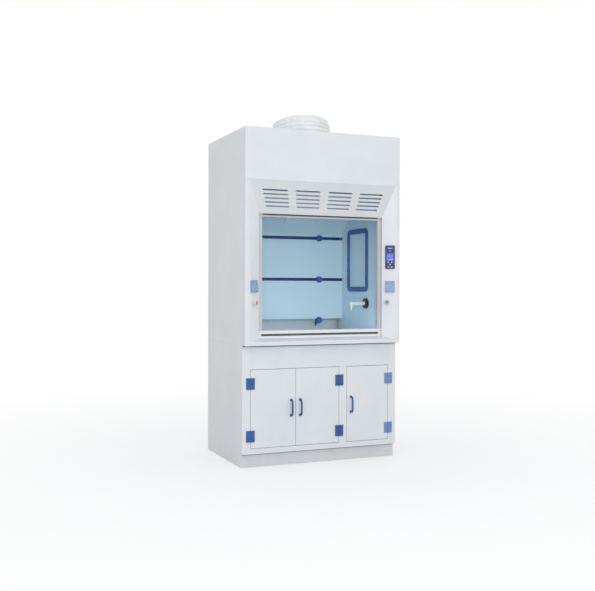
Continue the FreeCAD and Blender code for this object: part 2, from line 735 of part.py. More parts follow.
def hood_shell():
    side = block(INNER, SIDE, FRONT_IN, BACK, BASE_HEIGHT, HEIGHT)
    save("hood_sides", *pair(side))
    back = block(-INNER, INNER, BACK_IN, BACK, BASE_HEIGHT, ROOF_UNDER)
    save("hood_back", back)
    roof = block(-INNER, INNER, FRONT_IN, BACK, ROOF_UNDER, HEIGHT)
    hole = rod(COLLAR_BORE, V(DUCT_X, DUCT_Y, 0), V(DUCT_X, DUCT_Y, HEIGHT + SHEET))
    gland_low = V(GLAND_X, GLAND_Y, ROOF_UNDER)
    nut = GLAND_RADIUS + GLAND_NUT
    nut_top = SHEET + GLAND_NUT_HEIGHT
    gland = turned(
        [
            (GLAND_BORE, 0), (GLAND_RADIUS, 0), (GLAND_RADIUS, SHEET), (nut, SHEET),
            (nut, nut_top), (GLAND_RADIUS, nut_top),
            (GLAND_RADIUS - GLAND_TAPER, GLAND_HEIGHT), (GLAND_BORE, GLAND_HEIGHT),
        ],
        gland_low,
    )
    roof = roof.cut(hole).cut(rod(GLAND_RADIUS, gland_low, gland_low + Z_WAY * SHEET))
    save("hood_top", roof, gland)
    save("hood_fascia", block(-SIDE, SIDE, FRONT, FRONT_IN, VENT_TOP, HEIGHT))


def surround():
    strip_inset = SHEET * math.tan(math.atan2(BEVEL_DEPTH, BEVEL_WIDTH) / 2)
    lip_inset = SHEET * math.tan(math.atan2(BEVEL_WIDTH, BEVEL_DEPTH) / 2)
    post = along_z(
        [
            (SIDE, FRONT), (STRIP_X, FRONT), (OPENING_X, BEVEL_Y), (OPENING_X, LIP_Y),
            (OPENING_X + SHEET, LIP_Y), (OPENING_X + SHEET, BEVEL_Y + lip_inset),
            (STRIP_X + strip_inset, FRONT_IN), (SIDE, FRONT_IN),
        ],
        BASE_HEIGHT, VENT_TOP,
    )
    vent_mitre = along_y(
        [(STRIP_X, VENT_TOP), (OPENING_X, VENT_BOTTOM), (0, VENT_BOTTOM), (0, VENT_TOP)],
        FRONT - SHEET, 0,
    )
    sill_mitre = along_y(
        [
            (STRIP_X, BASE_HEIGHT), (STRIP_X, SILL_FACE_TOP), (OPENING_X, SILL_TOP),
            (0, SILL_TOP), (0, BASE_HEIGHT),
        ],
        FRONT - SHEET, 0,
    )
    worktop_edge = block(0, SIDE, FRONT_IN, 0, BASE_HEIGHT, WORKTOP_Z)
    post = post.cut(vent_mitre).cut(sill_mitre).cut(worktop_edge)
    holes = bevel_holes(RIGHT)
    left_post = mirrored(post)
    for hole in holes:
        post = post.cut(hole)
    for hole in bevel_holes(LEFT):
        left_post = left_post.cut(hole)
    save("front_posts", post, left_post)
    save("vent_panel", vent_panel())
    save("front_sill", front_sill())


def vent_panel():
    """The sloping bypass panel, mitred to both posts, with rows of slots."""
    level_thickness = SHEET * SLANT / VENT_DROP
    lip_inset = level_thickness - SHEET * BEVEL_DEPTH / VENT_DROP
    whole = along_x(
        [
            (FRONT, VENT_TOP), (BEVEL_Y, VENT_BOTTOM), (LIP_Y, VENT_BOTTOM),
            (LIP_Y, VENT_BOTTOM + SHEET), (BEVEL_Y + lip_inset, VENT_BOTTOM + SHEET),
            (FRONT + level_thickness, VENT_TOP),
        ],
        -STRIP_X, STRIP_X,
    )
    keep = along_y(
        [
            (STRIP_X, VENT_TOP), (OPENING_X, VENT_BOTTOM),
            (-OPENING_X, VENT_BOTTOM), (-STRIP_X, VENT_TOP),
        ],
        FRONT - SHEET, 0,
    )
    panel = whole.common(keep)
    down = V(0, BEVEL_DEPTH, -VENT_DROP) / SLANT
    out = V(0, -VENT_DROP, -BEVEL_DEPTH) / SLANT
    spin = FreeCAD.Rotation(X_WAY, down * -1, out, "ZXY")
    for row in range(SLOT_ROWS):
        s = SLOT_FIRST + row * SLOT_PITCH
        half = STRIP_X - BEVEL_WIDTH * s / SLANT
        for low, high in SLOT_SPANS:
            for side in (-1, 1):
                length = (high - low) * half
                slot = rounded_plate(length, SLOT_HEIGHT, SLOT_HEIGHT * NEARLY_HALF, 4 * SHEET)
                middle = side * (low + high) / 2 * half
                centre = V(middle, FRONT, VENT_TOP) + down * s - out * 2 * SHEET
                slot.Placement = FreeCAD.Placement(centre, spin)
                panel = panel.cut(slot)
    return panel


def front_sill():
    """The airfoil sill: face strip, rising ledge, flat land under the sash and a leg."""
    leg = TRACK_BACK - SHEET
    sill = along_x(
        [
            (FRONT, BASE_HEIGHT), (FRONT, SILL_FACE_TOP), (BEVEL_Y, SILL_TOP), (TRACK_BACK, SILL_TOP),
            (TRACK_BACK, WORKTOP_Z), (leg, WORKTOP_Z), (leg, SILL_TOP - SHEET),
            (BEVEL_Y, SILL_TOP - SHEET), (FRONT_IN, WORKTOP_Z), (FRONT_IN, BASE_HEIGHT),
        ],
        -STRIP_X, STRIP_X,
    )
    keep = along_y(
        [
            (STRIP_X, BASE_HEIGHT), (STRIP_X, SILL_FACE_TOP), (OPENING_X, SILL_TOP),
            (-OPENING_X, SILL_TOP), (-STRIP_X, SILL_FACE_TOP), (-STRIP_X, BASE_HEIGHT),
        ],
        FRONT - SHEET, 0,
    )
    return sill.common(keep)


# Work chamber

def access_outline(grow, thickness):
    width = ACCESS_Y[1] - ACCESS_Y[0] + 2 * grow
    height = ACCESS_Z[1] - ACCESS_Z[0] + 2 * grow
    return rounded_plate(width, height, ACCESS_RADIUS + grow, thickness)


def on_liner(solid, x):
    y = (ACCESS_Y[0] + ACCESS_Y[1]) / 2
    z = (ACCESS_Z[0] + ACCESS_Z[1]) / 2
    return on_side_wall(solid, x, y, z)


def chamber():
    window = on_liner(access_outline(-ACCESS_LAP, SHEET), LINER_FACE)
    wall = block(LINER_FACE, LINER_OUT, TRACK_BACK, LINER_BACK_Y, WORKTOP_Z, CEILING_Z)
    wall = wall.cut(window)
    outlet = rod(PIPE_RADIUS + PIPE_FIT, V(0, OUTLET_Y, OUTLET_Z), V(SIDE, OUTLET_Y, OUTLET_Z))
    wall = wall.cut(outlet)
    back = block(-LINER_OUT, LINER_OUT, LINER_BACK_Y, LINER_BACK_Y + SHEET, WORKTOP_Z, CEILING_Z)
    save("chamber_liners", *pair(wall), back)
    ceiling = block(-LINER_OUT, LINER_OUT, TRACK_BACK, LINER_BACK_Y + SHEET, CEILING_Z, CEILING_TOP)
    throat = rod(FAN_RADIUS, V(DUCT_X, FAN_Y, 0), V(DUCT_X, FAN_Y, HEIGHT))
    save("chamber_ceiling", ceiling.cut(throat))
    frame = access_outline(0, ACCESS_PROUD).cut(access_outline(-ACCESS_BAND, ACCESS_PROUD))
    save("access_frames", *pair(on_liner(frame, LINER_FACE - ACCESS_PROUD)))
    save("access_covers", *pair(window))


def baffle():
    """Two flat panels and an upper one that bends forward under the ceiling."""
    half = BAFFLE_SLOT / 2
    back = BAFFLE_Y + BAFFLE_SHEET
    rise = CEILING_Z - BAFFLE_TOP_GAP - BAFFLE_BEND_Z
    tip_y = BAFFLE_Y - rise
    tip_z = BAFFLE_BEND_Z + rise
    fold = BAFFLE_SHEET * math.tan(math.pi / 8)
    flats = (
        (BAFFLE_BOTTOM, LOWER_SLOT_Z - half),
        (LOWER_SLOT_Z + half, UPPER_SLOT_Z - half),
    )
    panels = [block(-LINER_FACE, LINER_FACE, BAFFLE_Y, back, low, high) for low, high in flats]
    strip = [
        (BAFFLE_Y, UPPER_SLOT_Z + half), (BAFFLE_Y, BAFFLE_BEND_Z),
        (back, BAFFLE_BEND_Z + fold), (back, UPPER_SLOT_Z + half),
    ]
    slope = [
        (BAFFLE_Y, BAFFLE_BEND_Z), (tip_y, tip_z),
        (tip_y + BAFFLE_SHEET * math.sqrt(2), tip_z), (back, BAFFLE_BEND_Z + fold),
    ]
    panels += [along_x(outline, -LINER_FACE, LINER_FACE) for outline in (strip, slope)]
    save("baffle_panels", *panels)
    clamps = []
    for x in (-CLAMP_X, CLAMP_X):
        for z in CLAMP_HEIGHTS:
            clamps += baffle_clamp(x, z)
    save("baffle_clamps", *clamps)


def baffle_clamp(x, z):
    """A hand knob, its stud, and the gusset on the back wall that holds it."""
    root = LINER_BACK_Y - GUSSET_WIDTH
    outline = [
        (0, 0), (CLAMP_RADIUS, 0), (CLAMP_RADIUS, CLAMP_DEPTH * CLAMP_RIM_SHARE),
        (CLAMP_RADIUS * CLAMP_TOP_SHARE, CLAMP_DEPTH), (0, CLAMP_DEPTH),
    ]
    knob = turned(outline, V(x, BAFFLE_Y, z), V(0, -1, 0))
    stud = rod(CLAMP_STUD, V(x, BAFFLE_Y, z), V(x, root, z))
    half = GUSSET_THICKNESS / 2
    seat = CLAMP_STUD + GUSSET_SEAT
    gusset = along_x(
        [
            (LINER_BACK_Y, z - GUSSET_DROP), (LINER_BACK_Y, z + GUSSET_RISE),
            (root, z + seat), (root, z - seat),
        ],
        x - half, x + half,
    )
    return [knob, stud, gusset]


def lamp():
    """A flat light fitting on the sloping part of the baffle."""
    run = LAMP_SLOPE_AT / math.sqrt(2)
    down = V(0, 1, -1) / math.sqrt(2)
    out = V(0, -1, -1) / math.sqrt(2)
    centre = V(LAMP_X, BAFFLE_Y - run, BAFFLE_BEND_Z + run)
    body = rounded_plate(LAMP_WIDTH, LAMP_HEIGHT, LAMP_CORNER, LAMP_DEPTH)
    rim = [edge for edge in body.Edges if edge.BoundBox.ZMin > LAMP_DEPTH / 2]
    body = body.makeChamfer(LAMP_EDGE, rim)
    body.Placement = FreeCAD.Placement(centre, FreeCAD.Rotation(X_WAY, down * -1, out, "ZXY"))
    save("lamp", body)


# Sash, tracks, cables, weights and pulleys

def sash():
    inner = SASH_HALF - SASH_STILE
    glass_front = CABLE_Y - GLASS_THICKNESS / 2
    glass_back = CABLE_Y + GLASS_THICKNESS / 2
    glass = block(
        -inner - GLASS_EDGE, inner + GLASS_EDGE, glass_front, glass_back,
        SASH_BOTTOM + SASH_RAIL - GLASS_EDGE, SASH_TOP - SASH_STILE + GLASS_EDGE,
    )
    save("sash_glass", glass)
    rail_top = SASH_BOTTOM + SASH_RAIL
    stile = block(inner, SASH_HALF, SASH_FRONT, SASH_BACK, rail_top, SASH_TOP).cut(glass)
    lug = block(
        SASH_HALF, PULLEY_X + LUG_WIDTH / 2, CABLE_Y - LUG_WIDTH / 2, CABLE_Y + LUG_WIDTH / 2,
        LUG_Z - LUG_HEIGHT, LUG_Z,
    )
    stile = fused(stile, lug)
    top = block(-inner, inner, SASH_FRONT, SASH_BACK, SASH_TOP - SASH_STILE, SASH_TOP).cut(glass)
    save("sash_frame", *pair(stile), top)
    rail = block(-SASH_HALF, SASH_HALF, SASH_FRONT, SASH_BACK, SASH_BOTTOM, rail_top).cut(glass)
    grip = rounded_plate(2 * GRIP_HALF, GRIP_HEIGHT, GRIP_HEIGHT * NEARLY_HALF, GRIP_DEPTH)
    grip = placed(grip, V(0, SASH_FRONT + GRIP_DEPTH, SASH_BOTTOM + GRIP_CENTRE), -Y_WAY)
    save("sash_lift_rail", rail.cut(grip))


def tracks():
    """Two U channels for the sash, each with a pulley bracket beside its head."""
    channel = block(TRACK_EDGE, TRACK_OUT, TRACK_FRONT, TRACK_BACK, SILL_TOP, ROOF_UNDER)
    groove = block(
        TRACK_EDGE, TRACK_WEB, TRACK_FRONT + TRACK_WALL, TRACK_BACK - TRACK_WALL,
        SILL_TOP, ROOF_UNDER,
    )
    reach = LUG_WIDTH / 2 + LUG_PLAY
    slot = block(
        TRACK_WEB, TRACK_OUT, CABLE_Y - reach, CABLE_Y + reach,
        LUG_Z - LUG_HEIGHT - 2 * LUG_PLAY, LUG_Z + SASH_TRAVEL + 2 * LUG_PLAY,
    )
    channel = channel.cut(groove).cut(slot)
    save("sash_tracks", *pair(channel))
    centre_y = CABLE_Y + PULLEY_RADIUS
    at = V(0, centre_y, PULLEY_Z)
    near = PULLEY_X - PULLEY_WIDTH / 2 - BRACKET_PLAY
    far = PULLEY_X + PULLEY_WIDTH / 2 + BRACKET_PLAY
    end = near - BRACKET_SHOULDER
    stand = INNER - BRACKET_PLATE
    foot = block(
        stand, INNER, centre_y - BRACKET_FOOT, centre_y + BRACKET_FOOT,
        PULLEY_Z - BRACKET_FOOT, PULLEY_Z + BRACKET_FOOT,
    )
    axle = rod(AXLE_RADIUS, at + X_WAY * end, at + X_WAY * INNER)
    shoulder = rod(AXLE_RADIUS + BRACKET_SHOULDER, at + X_WAY * far, at + X_WAY * stand)
    cap = rod(AXLE_RADIUS + BRACKET_SHOULDER, at + X_WAY * end, at + X_WAY * near)
    save("pulley_brackets", *pair(fused(foot, axle, shoulder, cap)))
    half = PULLEY_WIDTH / 2
    lip = PULLEY_WIDTH * RIM_SHARE
    bottom = PULLEY_RADIUS - PULLEY_GROOVE
    rim = PULLEY_RADIUS + PULLEY_RIM
    bore = AXLE_RADIUS + PIN_FIT
    wheel = [
        (bore, -half), (rim, -half), (rim, -lip), (bottom, -CABLE_RADIUS),
        (bottom, CABLE_RADIUS), (rim, lip), (rim, half), (bore, half),
    ]
    save("cable_pulleys", *pair(turned(wheel, V(PULLEY_X, centre_y, PULLEY_Z), X_WAY)))


def cables():
    """The cable from each sash lug over its pulley to the top of its weight."""
    centre_y = CABLE_Y + PULLEY_RADIUS
    front_low = V(PULLEY_X, CABLE_Y, LUG_Z)
    front_high = V(PULLEY_X, CABLE_Y, PULLEY_Z)
    crown = V(PULLEY_X, centre_y, PULLEY_Z + PULLEY_RADIUS)
    rear_high = V(PULLEY_X, WEIGHT_Y, PULLEY_Z)
    rear_low = V(PULLEY_X, WEIGHT_Y, WEIGHT_TOP)
    path = Part.Wire(
        [
            Part.LineSegment(front_low, front_high).toShape(),
            Part.Arc(front_high, crown, rear_high).toShape(),
            Part.LineSegment(rear_high, rear_low).toShape(),
        ]
    )
    start = Part.Wire([Part.Circle(front_low, Z_WAY, CABLE_RADIUS).toShape()])
    cable = path.makePipeShell([start], True, False)
    save("sash_cables", *pair(cable))
    middle = PULLEY_X + WEIGHT_OUT
    weight = block(
        middle - WEIGHT_WIDTH / 2, middle + WEIGHT_WIDTH / 2,
        WEIGHT_Y - WEIGHT_DEPTH / 2, WEIGHT_Y + WEIGHT_DEPTH / 2,
        WEIGHT_TOP - WEIGHT_HEIGHT, WEIGHT_TOP - WEIGHT_EYE,
    )
    uprights = [edge for edge in weight.Edges if edge.BoundBox.ZLength > WEIGHT_WIDTH]
    weight = weight.makeChamfer(WEIGHT_EDGE, uprights)
    eye = rod(WEIGHT_EDGE, V(PULLEY_X, WEIGHT_Y, WEIGHT_TOP - WEIGHT_EYE - EYE_SEAT), rear_low)
    save("counterweights", *pair(fused(weight, eye)))


# Exhaust

def fan():
    """A duct fan under the roof: casing, motor on three struts and a bladed wheel."""
    base = V(DUCT_X, FAN_Y, CEILING_TOP)
    head = base + Z_WAY * FAN_HEIGHT
    wall = FAN_RADIUS + FAN_WALL
    drum = fused(rod(wall, base, head), rod(wall + FAN_FLANGE, base, base + Z_WAY * FLANGE_SHEET))
    save("fan_casing", drum.cut(rod(FAN_RADIUS, base, head)), *funnel(head))
    motor_low = CEILING_TOP + MOTOR_RISE
    motor_high = motor_low + MOTOR_HEIGHT
    hub = V(DUCT_X, FAN_Y, motor_low + STRUT_RISE)
    struts = []
    for i in range(3):
        angle = math.radians(120 * i + 90)
        way = V(math.cos(angle), math.sin(angle), 0)
        strut = rod(STRUT_RADIUS, hub + way * (MOTOR_RADIUS - MOTOR_EDGE), hub + way * FAN_RADIUS)
        struts.append(strut.common(rod(FAN_RADIUS, base, head)))
    at = V(DUCT_X, FAN_Y, 0)
    shaft = SPINDLE_RADIUS + SHAFT_STEP
    shaft_high = motor_high + HUB_HEIGHT * HUB_SHARE
    case = [
        (0, motor_low), (MOTOR_RADIUS - MOTOR_EDGE, motor_low),
        (MOTOR_RADIUS, motor_low + MOTOR_EDGE), (MOTOR_RADIUS, motor_high),
        (shaft, motor_high), (shaft, shaft_high), (0, shaft_high),
    ]
    save("fan_motor", fused(turned(case, at), *struts))
    low = motor_high + HUB_GAP
    bore = shaft + PIN_FIT
    bore_high = shaft_high + HUB_GAP / 2
    hub = [
        (bore, low), (HUB_RADIUS, low), (HUB_RADIUS, low + HUB_HEIGHT * HUB_SHARE),
        (HUB_RADIUS * HUB_SHARE, low + HUB_HEIGHT), (0, low + HUB_HEIGHT),
        (0, bore_high), (bore, bore_high),
    ]
    blades = []
    for i in range(FAN_BLADES):
        blade = fan_blade(low + HUB_HEIGHT * HUB_SHARE / 2)
        blade.rotate(at, Z_WAY, 360.0 / FAN_BLADES * i)
        blades.append(blade)
    save("fan_impeller", fused(turned(hub, at), *blades))


def funnel(head):
    """Flat panels welded edge to edge from the round casing to the mouth under the roof."""
    mouth = V(DUCT_X, DUCT_Y, ROOF_UNDER)
    corner = 1 / math.cos(math.pi / FUNNEL_PANELS)
    ways = []
    for i in range(FUNNEL_PANELS + 1):
        angle = 2 * math.pi * i / FUNNEL_PANELS
        ways.append(V(math.cos(angle), math.sin(angle), 0) * corner)
    panels = []
    for first, second in zip(ways, ways[1:]):
        ends = []
        for centre, radius in ((head, FAN_RADIUS), (mouth, COLLAR_BORE)):
            inner = [centre + first * radius, centre + second * radius]
            outer = [centre + way * (radius + FAN_WALL) for way in (second, first)]
            ends.append(Part.makePolygon(inner + outer + inner[:1]))
        panels.append(Part.makeLoft(ends, True, True))
    return panels


def fan_blade(z):
    """One twisted blade: thin sections at the hub and the tip, joined by ruled faces."""
    sections = []
    for radius, chord, pitch in (BLADE_ROOT, BLADE_TIP):
        angle = math.radians(pitch)
        along = V(0, math.cos(angle), math.sin(angle)) * (chord / 2)
        thick = V(0, -math.sin(angle), math.cos(angle)) * BLADE_HALF
        centre = V(DUCT_X + radius, FAN_Y, z)
        low = [centre - along - thick, centre + along - thick]
        high = [centre + along + thick, centre - along + thick]
        sections.append(Part.makePolygon(low + high + low[:1]))
    blade = Part.makeLoft(sections, True, True)
    reach = Z_WAY * BLADE_TIP[1]
    axis = V(DUCT_X, FAN_Y, z)
    room = tube(FAN_RADIUS - FAN_TIP_GAP, HUB_RADIUS - HUB_GAP, axis - reach, axis + reach)
    return blade.common(room)


def ring(centre, radius, way):
    return Part.Wire([Part.Circle(centre, way, radius).toShape()])


def duct():
    """A roof collar and a short corrugated duct that leans back in a gentle bend."""
    foot = V(DUCT_X, DUCT_Y, HEIGHT)
    high = foot + Z_WAY * COLLAR_HEIGHT
    flange = rod(DUCT_BORE + COLLAR_FLANGE, foot, foot + Z_WAY * FLANGE_SHEET)
    save("exhaust_collar", fused(rod(DUCT_BORE, foot, high), flange).cut(rod(COLLAR_BORE, foot, high)))
    heading = math.radians(DUCT_HEADING)
    lean = V(math.sin(heading), math.cos(heading), 0)
    start = foot + Z_WAY * CUFF_START
    bend_start = start + Z_WAY * CUFF_LENGTH
    outside = [ring(start, DUCT_BORE + DUCT_WALL, Z_WAY)]
    inside = [ring(start, DUCT_BORE, Z_WAY)]
    steps = 2 * DUCT_RIBS
    for i in range(steps + 1):
        turn = math.radians(DUCT_ANGLE * i / steps)
        out = lean * (DUCT_BEND * (1 - math.cos(turn)))
        centre = bend_start + out + Z_WAY * (DUCT_BEND * math.sin(turn))
        way = Z_WAY * math.cos(turn) + lean * math.sin(turn)
        radius = DUCT_RADIUS if i % 2 else DUCT_BORE + DUCT_WALL
        outside.append(ring(centre, radius, way))
        inside.append(ring(centre, radius - DUCT_WALL, way))
    end = centre + way * END_CUFF
    outside.append(ring(end, DUCT_BORE + DUCT_WALL, way))
    inside.append(ring(end, DUCT_BORE, way))
    save("exhaust_duct", Part.makeLoft(outside, True, True).cut(Part.makeLoft(inside, True, True)))


# Services

KEY_PLACES = {
    "key_fan_up": (-KEY_SPREAD, 2 * KEY_PITCH),
    "key_fan_down": (KEY_SPREAD, 2 * KEY_PITCH),
    "key_power": (0.0, KEY_PITCH),
    "key_lamp": (-KEY_SPREAD, 0.0),
    "key_socket": (KEY_SPREAD, 0.0),
}


def bevel_holes(bevel):
    """Holes through one bevelled post: the valve spindle's and the socket box's."""
    along = WATER_ALONG if bevel is RIGHT else GAS_ALONG
    through = 2 * STRIP_WIDTH
    front = bevel.at(along, KNOB_Z, through)
    spindle = rod(SPINDLE_RADIUS + PIN_FIT, front, bevel.at(along, KNOB_Z, -through))
    box = socket_shape(SOCKET_BOX_INSET, 2 * through)
    return [spindle, bevel.stand(box, SOCKET_ALONG, SOCKET_MIDDLE, -through)]


def socket_shape(inset, thickness):
    width = SOCKET_WIDTH - 2 * inset
    height = SOCKET_HEIGHT - 2 * inset
    return rounded_plate(width, height, SOCKET_CORNER, thickness)


def control_panel():
    """Housing with a screen window and five keys that travel in their pockets."""
    middle = (PANEL_TOP + PANEL_BOTTOM) / 2
    housing = rounded_plate(PANEL_WIDTH, PANEL_HEIGHT, PANEL_CORNER, PANEL_PROUD)
    rim = [edge for edge in housing.Edges if edge.BoundBox.ZMin > PANEL_PROUD / 2]
    housing = housing.makeChamfer(PANEL_EDGE, rim)
    screen_width = PANEL_WIDTH - 2 * SCREEN_MARGIN
    screen = rounded_plate(screen_width, SCREEN_HEIGHT, SCREEN_CORNER, SCREEN_DEPTH)
    lift = PANEL_HEIGHT / 2 - SCREEN_TOP - SCREEN_HEIGHT / 2
    screen.translate(V(0, lift, PANEL_PROUD - SCREEN_DEPTH))
    housing = housing.cut(screen)
    floor = PANEL_PROUD - KEY_DEPTH - 2 * KEY_TRAVEL
    top = KEY_DEPTH + KEY_PROUD
    outline = [
        (0, 0), (KEY_RADIUS, 0), (KEY_RADIUS, top - KEY_EDGE),
        (KEY_RADIUS - KEY_EDGE, top), (0, top),
    ]
    for name, (x, rise) in KEY_PLACES.items():
        y = KEY_BASE - PANEL_HEIGHT / 2 + rise
        pocket = rod(KEY_RADIUS + KEY_FIT, V(x, y, floor), V(x, y, PANEL_PROUD + KEY_PROUD))
        housing = housing.cut(pocket)
        cap = turned(outline, V(x, y, PANEL_PROUD - KEY_DEPTH))
        save(name, RIGHT.stand(cap, PANEL_ALONG, middle))
    save("control_panel", RIGHT.stand(housing, PANEL_ALONG, middle))
    save("display_screen", RIGHT.stand(screen, PANEL_ALONG, middle))


def sockets():
    """Two socket boxes let into the bevels, each with a flip cover that falls shut."""
    box = socket_box()
    cover = flip_cover()
    save("socket_boxes", *[bevel.stand(box, SOCKET_ALONG, SOCKET_MIDDLE) for bevel in (RIGHT, LEFT)])
    save("socket_cover_right", RIGHT.stand(cover, SOCKET_ALONG, SOCKET_MIDDLE))
    save("socket_cover_left", LEFT.stand(cover, SOCKET_ALONG, SOCKET_MIDDLE))


def socket_box():
    """A box with a cup for the outlet, its face frame, and the two ears with the hinge pin."""
    body = socket_shape(SOCKET_BOX_INSET, SOCKET_DEPTH)
    body.translate(V(0, 0, -SOCKET_DEPTH))
    cup_width = SOCKET_WIDTH - 2 * SOCKET_CUP_SIDE
    cup_height = SOCKET_HEIGHT - 2 * SOCKET_CUP_END
    cup = rounded_plate(cup_width, cup_height, SOCKET_CUP_CORNER, SOCKET_DEPTH)
    cup.translate(V(0, 0, SOCKET_CUP_FLOOR - SOCKET_DEPTH))
    box = fused(body, socket_shape(0, SOCKET_FRAME)).cut(cup)
    near = BARREL_HALF + LID_PLAY
    far = SOCKET_WIDTH / 2 - EAR_END
    for way in (-1, 1):
        ear = rod(LID_BARREL, V(way * near, LID_AXIS_Y, LID_AXIS_Z), V(way * far, LID_AXIS_Y, LID_AXIS_Z))
        low, high = sorted((way * near, way * far))
        foot = block(low, high, LID_AXIS_Y - LID_BARREL, LID_AXIS_Y + LID_BARREL, SOCKET_FRAME, LID_AXIS_Z)
        box = fused(box, ear, foot)
    pin_end = near + LID_PIN_REACH
    pin = rod(LID_PIN, V(-pin_end, LID_AXIS_Y, LID_AXIS_Z), V(pin_end, LID_AXIS_Y, LID_AXIS_Z))
    return fused(box, pin)


def flip_cover():
    """A wedge-shaped lid, thicker at its lower edge, on a barrel between the ears."""
    low = LID_INSET - SOCKET_HEIGHT / 2
    back = SOCKET_FRAME + LID_GAP
    front = back + SOCKET_LID
    nose = front + SOCKET_LID_FLARE
    shoulder = LID_AXIS_Y - LID_BARREL - LID_BREAK
    half = SOCKET_WIDTH / 2 - LID_INSET
    lid = along_x(
        [
            (low, back), (shoulder, back), (shoulder, front), (shoulder - LID_BROW, front + LID_BREAK),
            (low + LID_CHIN, nose), (low, nose - LID_CHIN / 2),
        ],
        -half, half,
    )
    barrel = rod(LID_BARREL, V(-BARREL_HALF, LID_AXIS_Y, LID_AXIS_Z), V(BARREL_HALF, LID_AXIS_Y, LID_AXIS_Z))
    web = block(
        -BARREL_HALF, BARREL_HALF, shoulder - 1, LID_AXIS_Y, back, LID_AXIS_Z + LID_BARREL
    )
    room = rod(LID_PIN + PIN_FIT, V(-half, LID_AXIS_Y, LID_AXIS_Z), V(half, LID_AXIS_Y, LID_AXIS_Z))
    return fused(lid, barrel, web).cut(room)


def service_knob(bevel, along):
    """A hand knob flared from its neck, with its spindle through the post."""
    neck = KNOB_RADIUS * KNOB_FOOT_SHARE
    outline = [
        (0, 0), (neck, 0), (neck, KNOB_FLARE / 2), (KNOB_RADIUS, KNOB_FLARE),
        (KNOB_RADIUS, KNOB_LENGTH - KNOB_EDGE), (KNOB_RADIUS - KNOB_EDGE, KNOB_LENGTH),
        (0, KNOB_LENGTH),
    ]
    knob = turned(outline, V(0, 0, KNOB_STANDOFF))
    end = V(0, 0, SPINDLE_BLIND - SHEET - VALVE_SLEEVE)
    return bevel.stand(fused(knob, rod(SPINDLE_RADIUS, V(0, 0, 1), end)), along, KNOB_Z)


def services():
    save("gas_knob", service_knob(LEFT, GAS_ALONG))
    save("water_knob", service_knob(RIGHT, WATER_ALONG))
    gas = valve_and_pipe(LEFT, GAS_ALONG, -PIPE_X)
    water = valve_and_pipe(RIGHT, WATER_ALONG, PIPE_X)
    save("service_valves", gas, water)
    save("service_outlets", water_outlet(), gas_outlet())


def valve_and_pipe(bevel, along, x):
    """A valve behind its knob, and its pipe from the rear recess round to it."""
    bore = SPINDLE_RADIUS + PIN_FIT
    neck = VALVE_RADIUS - VALVE_NECK
    shut = -SHEET - VALVE_SLEEVE
    end = shut - VALVE_BODY
    outline = [
        (0, end), (VALVE_RADIUS, end), (VALVE_RADIUS, shut), (neck, shut),
        (neck, -SHEET), (bore, -SHEET), (bore, shut), (0, shut),
    ]
    valve = bevel.stand(turned(outline, V(0, 0, 0)), along, KNOB_Z)
    centre = bevel.at(along, KNOB_Z, shut - VALVE_BODY / 2)
    turn_z = KNOB_Z - PIPE_DROP
    stops = [
        V(x, PIPE_Y, PIPE_END_Z), V(x, PIPE_Y, turn_z),
        V(x, centre.y, turn_z), V(x, centre.y, KNOB_Z - PIPE_UNDER_VALVE),
    ]
    pipe = [rod(PIPE_RADIUS, start, end) for start, end in zip(stops, stops[1:])]
    elbows = [Part.makeSphere(PIPE_RADIUS, stop) for stop in stops[1:3]]
    nut_low = stops[0] + Z_WAY * STUB_LENGTH
    nut = rod(PIPE_RADIUS + PIPE_NUT, nut_low, nut_low + Z_WAY * PIPE_NUT_LENGTH)
    return fused(valve, nut, *pipe, *elbows)


def water_outlet():
    """A level arm on a wall flange, with a serrated nozzle that points down."""
    wall = V(LINER_FACE, OUTLET_Y, OUTLET_Z)
    outline = [
        (0, 0), (FLANGE_RADIUS, 0), (FLANGE_RADIUS, FLANGE_DEPTH - FLANGE_EDGE),
        (FLANGE_RADIUS - FLANGE_EDGE, FLANGE_DEPTH), (0, FLANGE_DEPTH),
    ]
    flange = turned(outline, wall, -X_WAY)
    end = wall - X_WAY * OUTLET_REACH
    arm = rod(OUTLET_RADIUS, wall - X_WAY * (FLANGE_DEPTH - 1), end)
    tail = rod(PIPE_RADIUS, wall - X_WAY, wall + X_WAY * TAIL_LENGTH)
    under = end + X_WAY * NOZZLE_FROM_END - Z_WAY * (OUTLET_RADIUS - NOZZLE_ROOT)
    nozzle = turned([(0, 0), *WATER_NOZZLE, (0, WATER_NOZZLE[-1][1])], under, -Z_WAY)
    return fused(flange, arm, nozzle, tail)


def gas_outlet():
    """A serrated hose nozzle that stands level on a wall flange."""
    wall = V(-LINER_FACE, OUTLET_Y, OUTLET_Z)
    outline = [
        (0, 0), (FLANGE_RADIUS, 0), (FLANGE_RADIUS, FLANGE_DEPTH - FLANGE_EDGE),
        (FLANGE_RADIUS - FLANGE_EDGE, FLANGE_DEPTH), *GAS_NOZZLE, (0, GAS_NOZZLE[-1][1]),
    ]
    tail = rod(PIPE_RADIUS, wall + X_WAY, wall - X_WAY * TAIL_LENGTH)
    return fused(turned(outline, wall, X_WAY), tail)


def main():
    base_cabinet()
    doors()
    worktop_and_sink()
    hood_shell()
    surround()
    chamber()
    baffle()
    lamp()
    sash()
    tracks()
    cables()
    fan()
    duct()
    control_panel()
    sockets()
    services()


main()
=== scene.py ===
"""Finishes and detail for a ducted polypropylene fume hood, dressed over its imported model.

Metres. +X is the user's right, -Y faces the user, +Z is up, and the floor is at zero.
"""
import json
import math
import bmesh
import bpy
from bpy.props import FloatProperty, FloatVectorProperty, PointerProperty
from bpy.types import Operator, Panel, PropertyGroup
from mathutils import Matrix, Vector

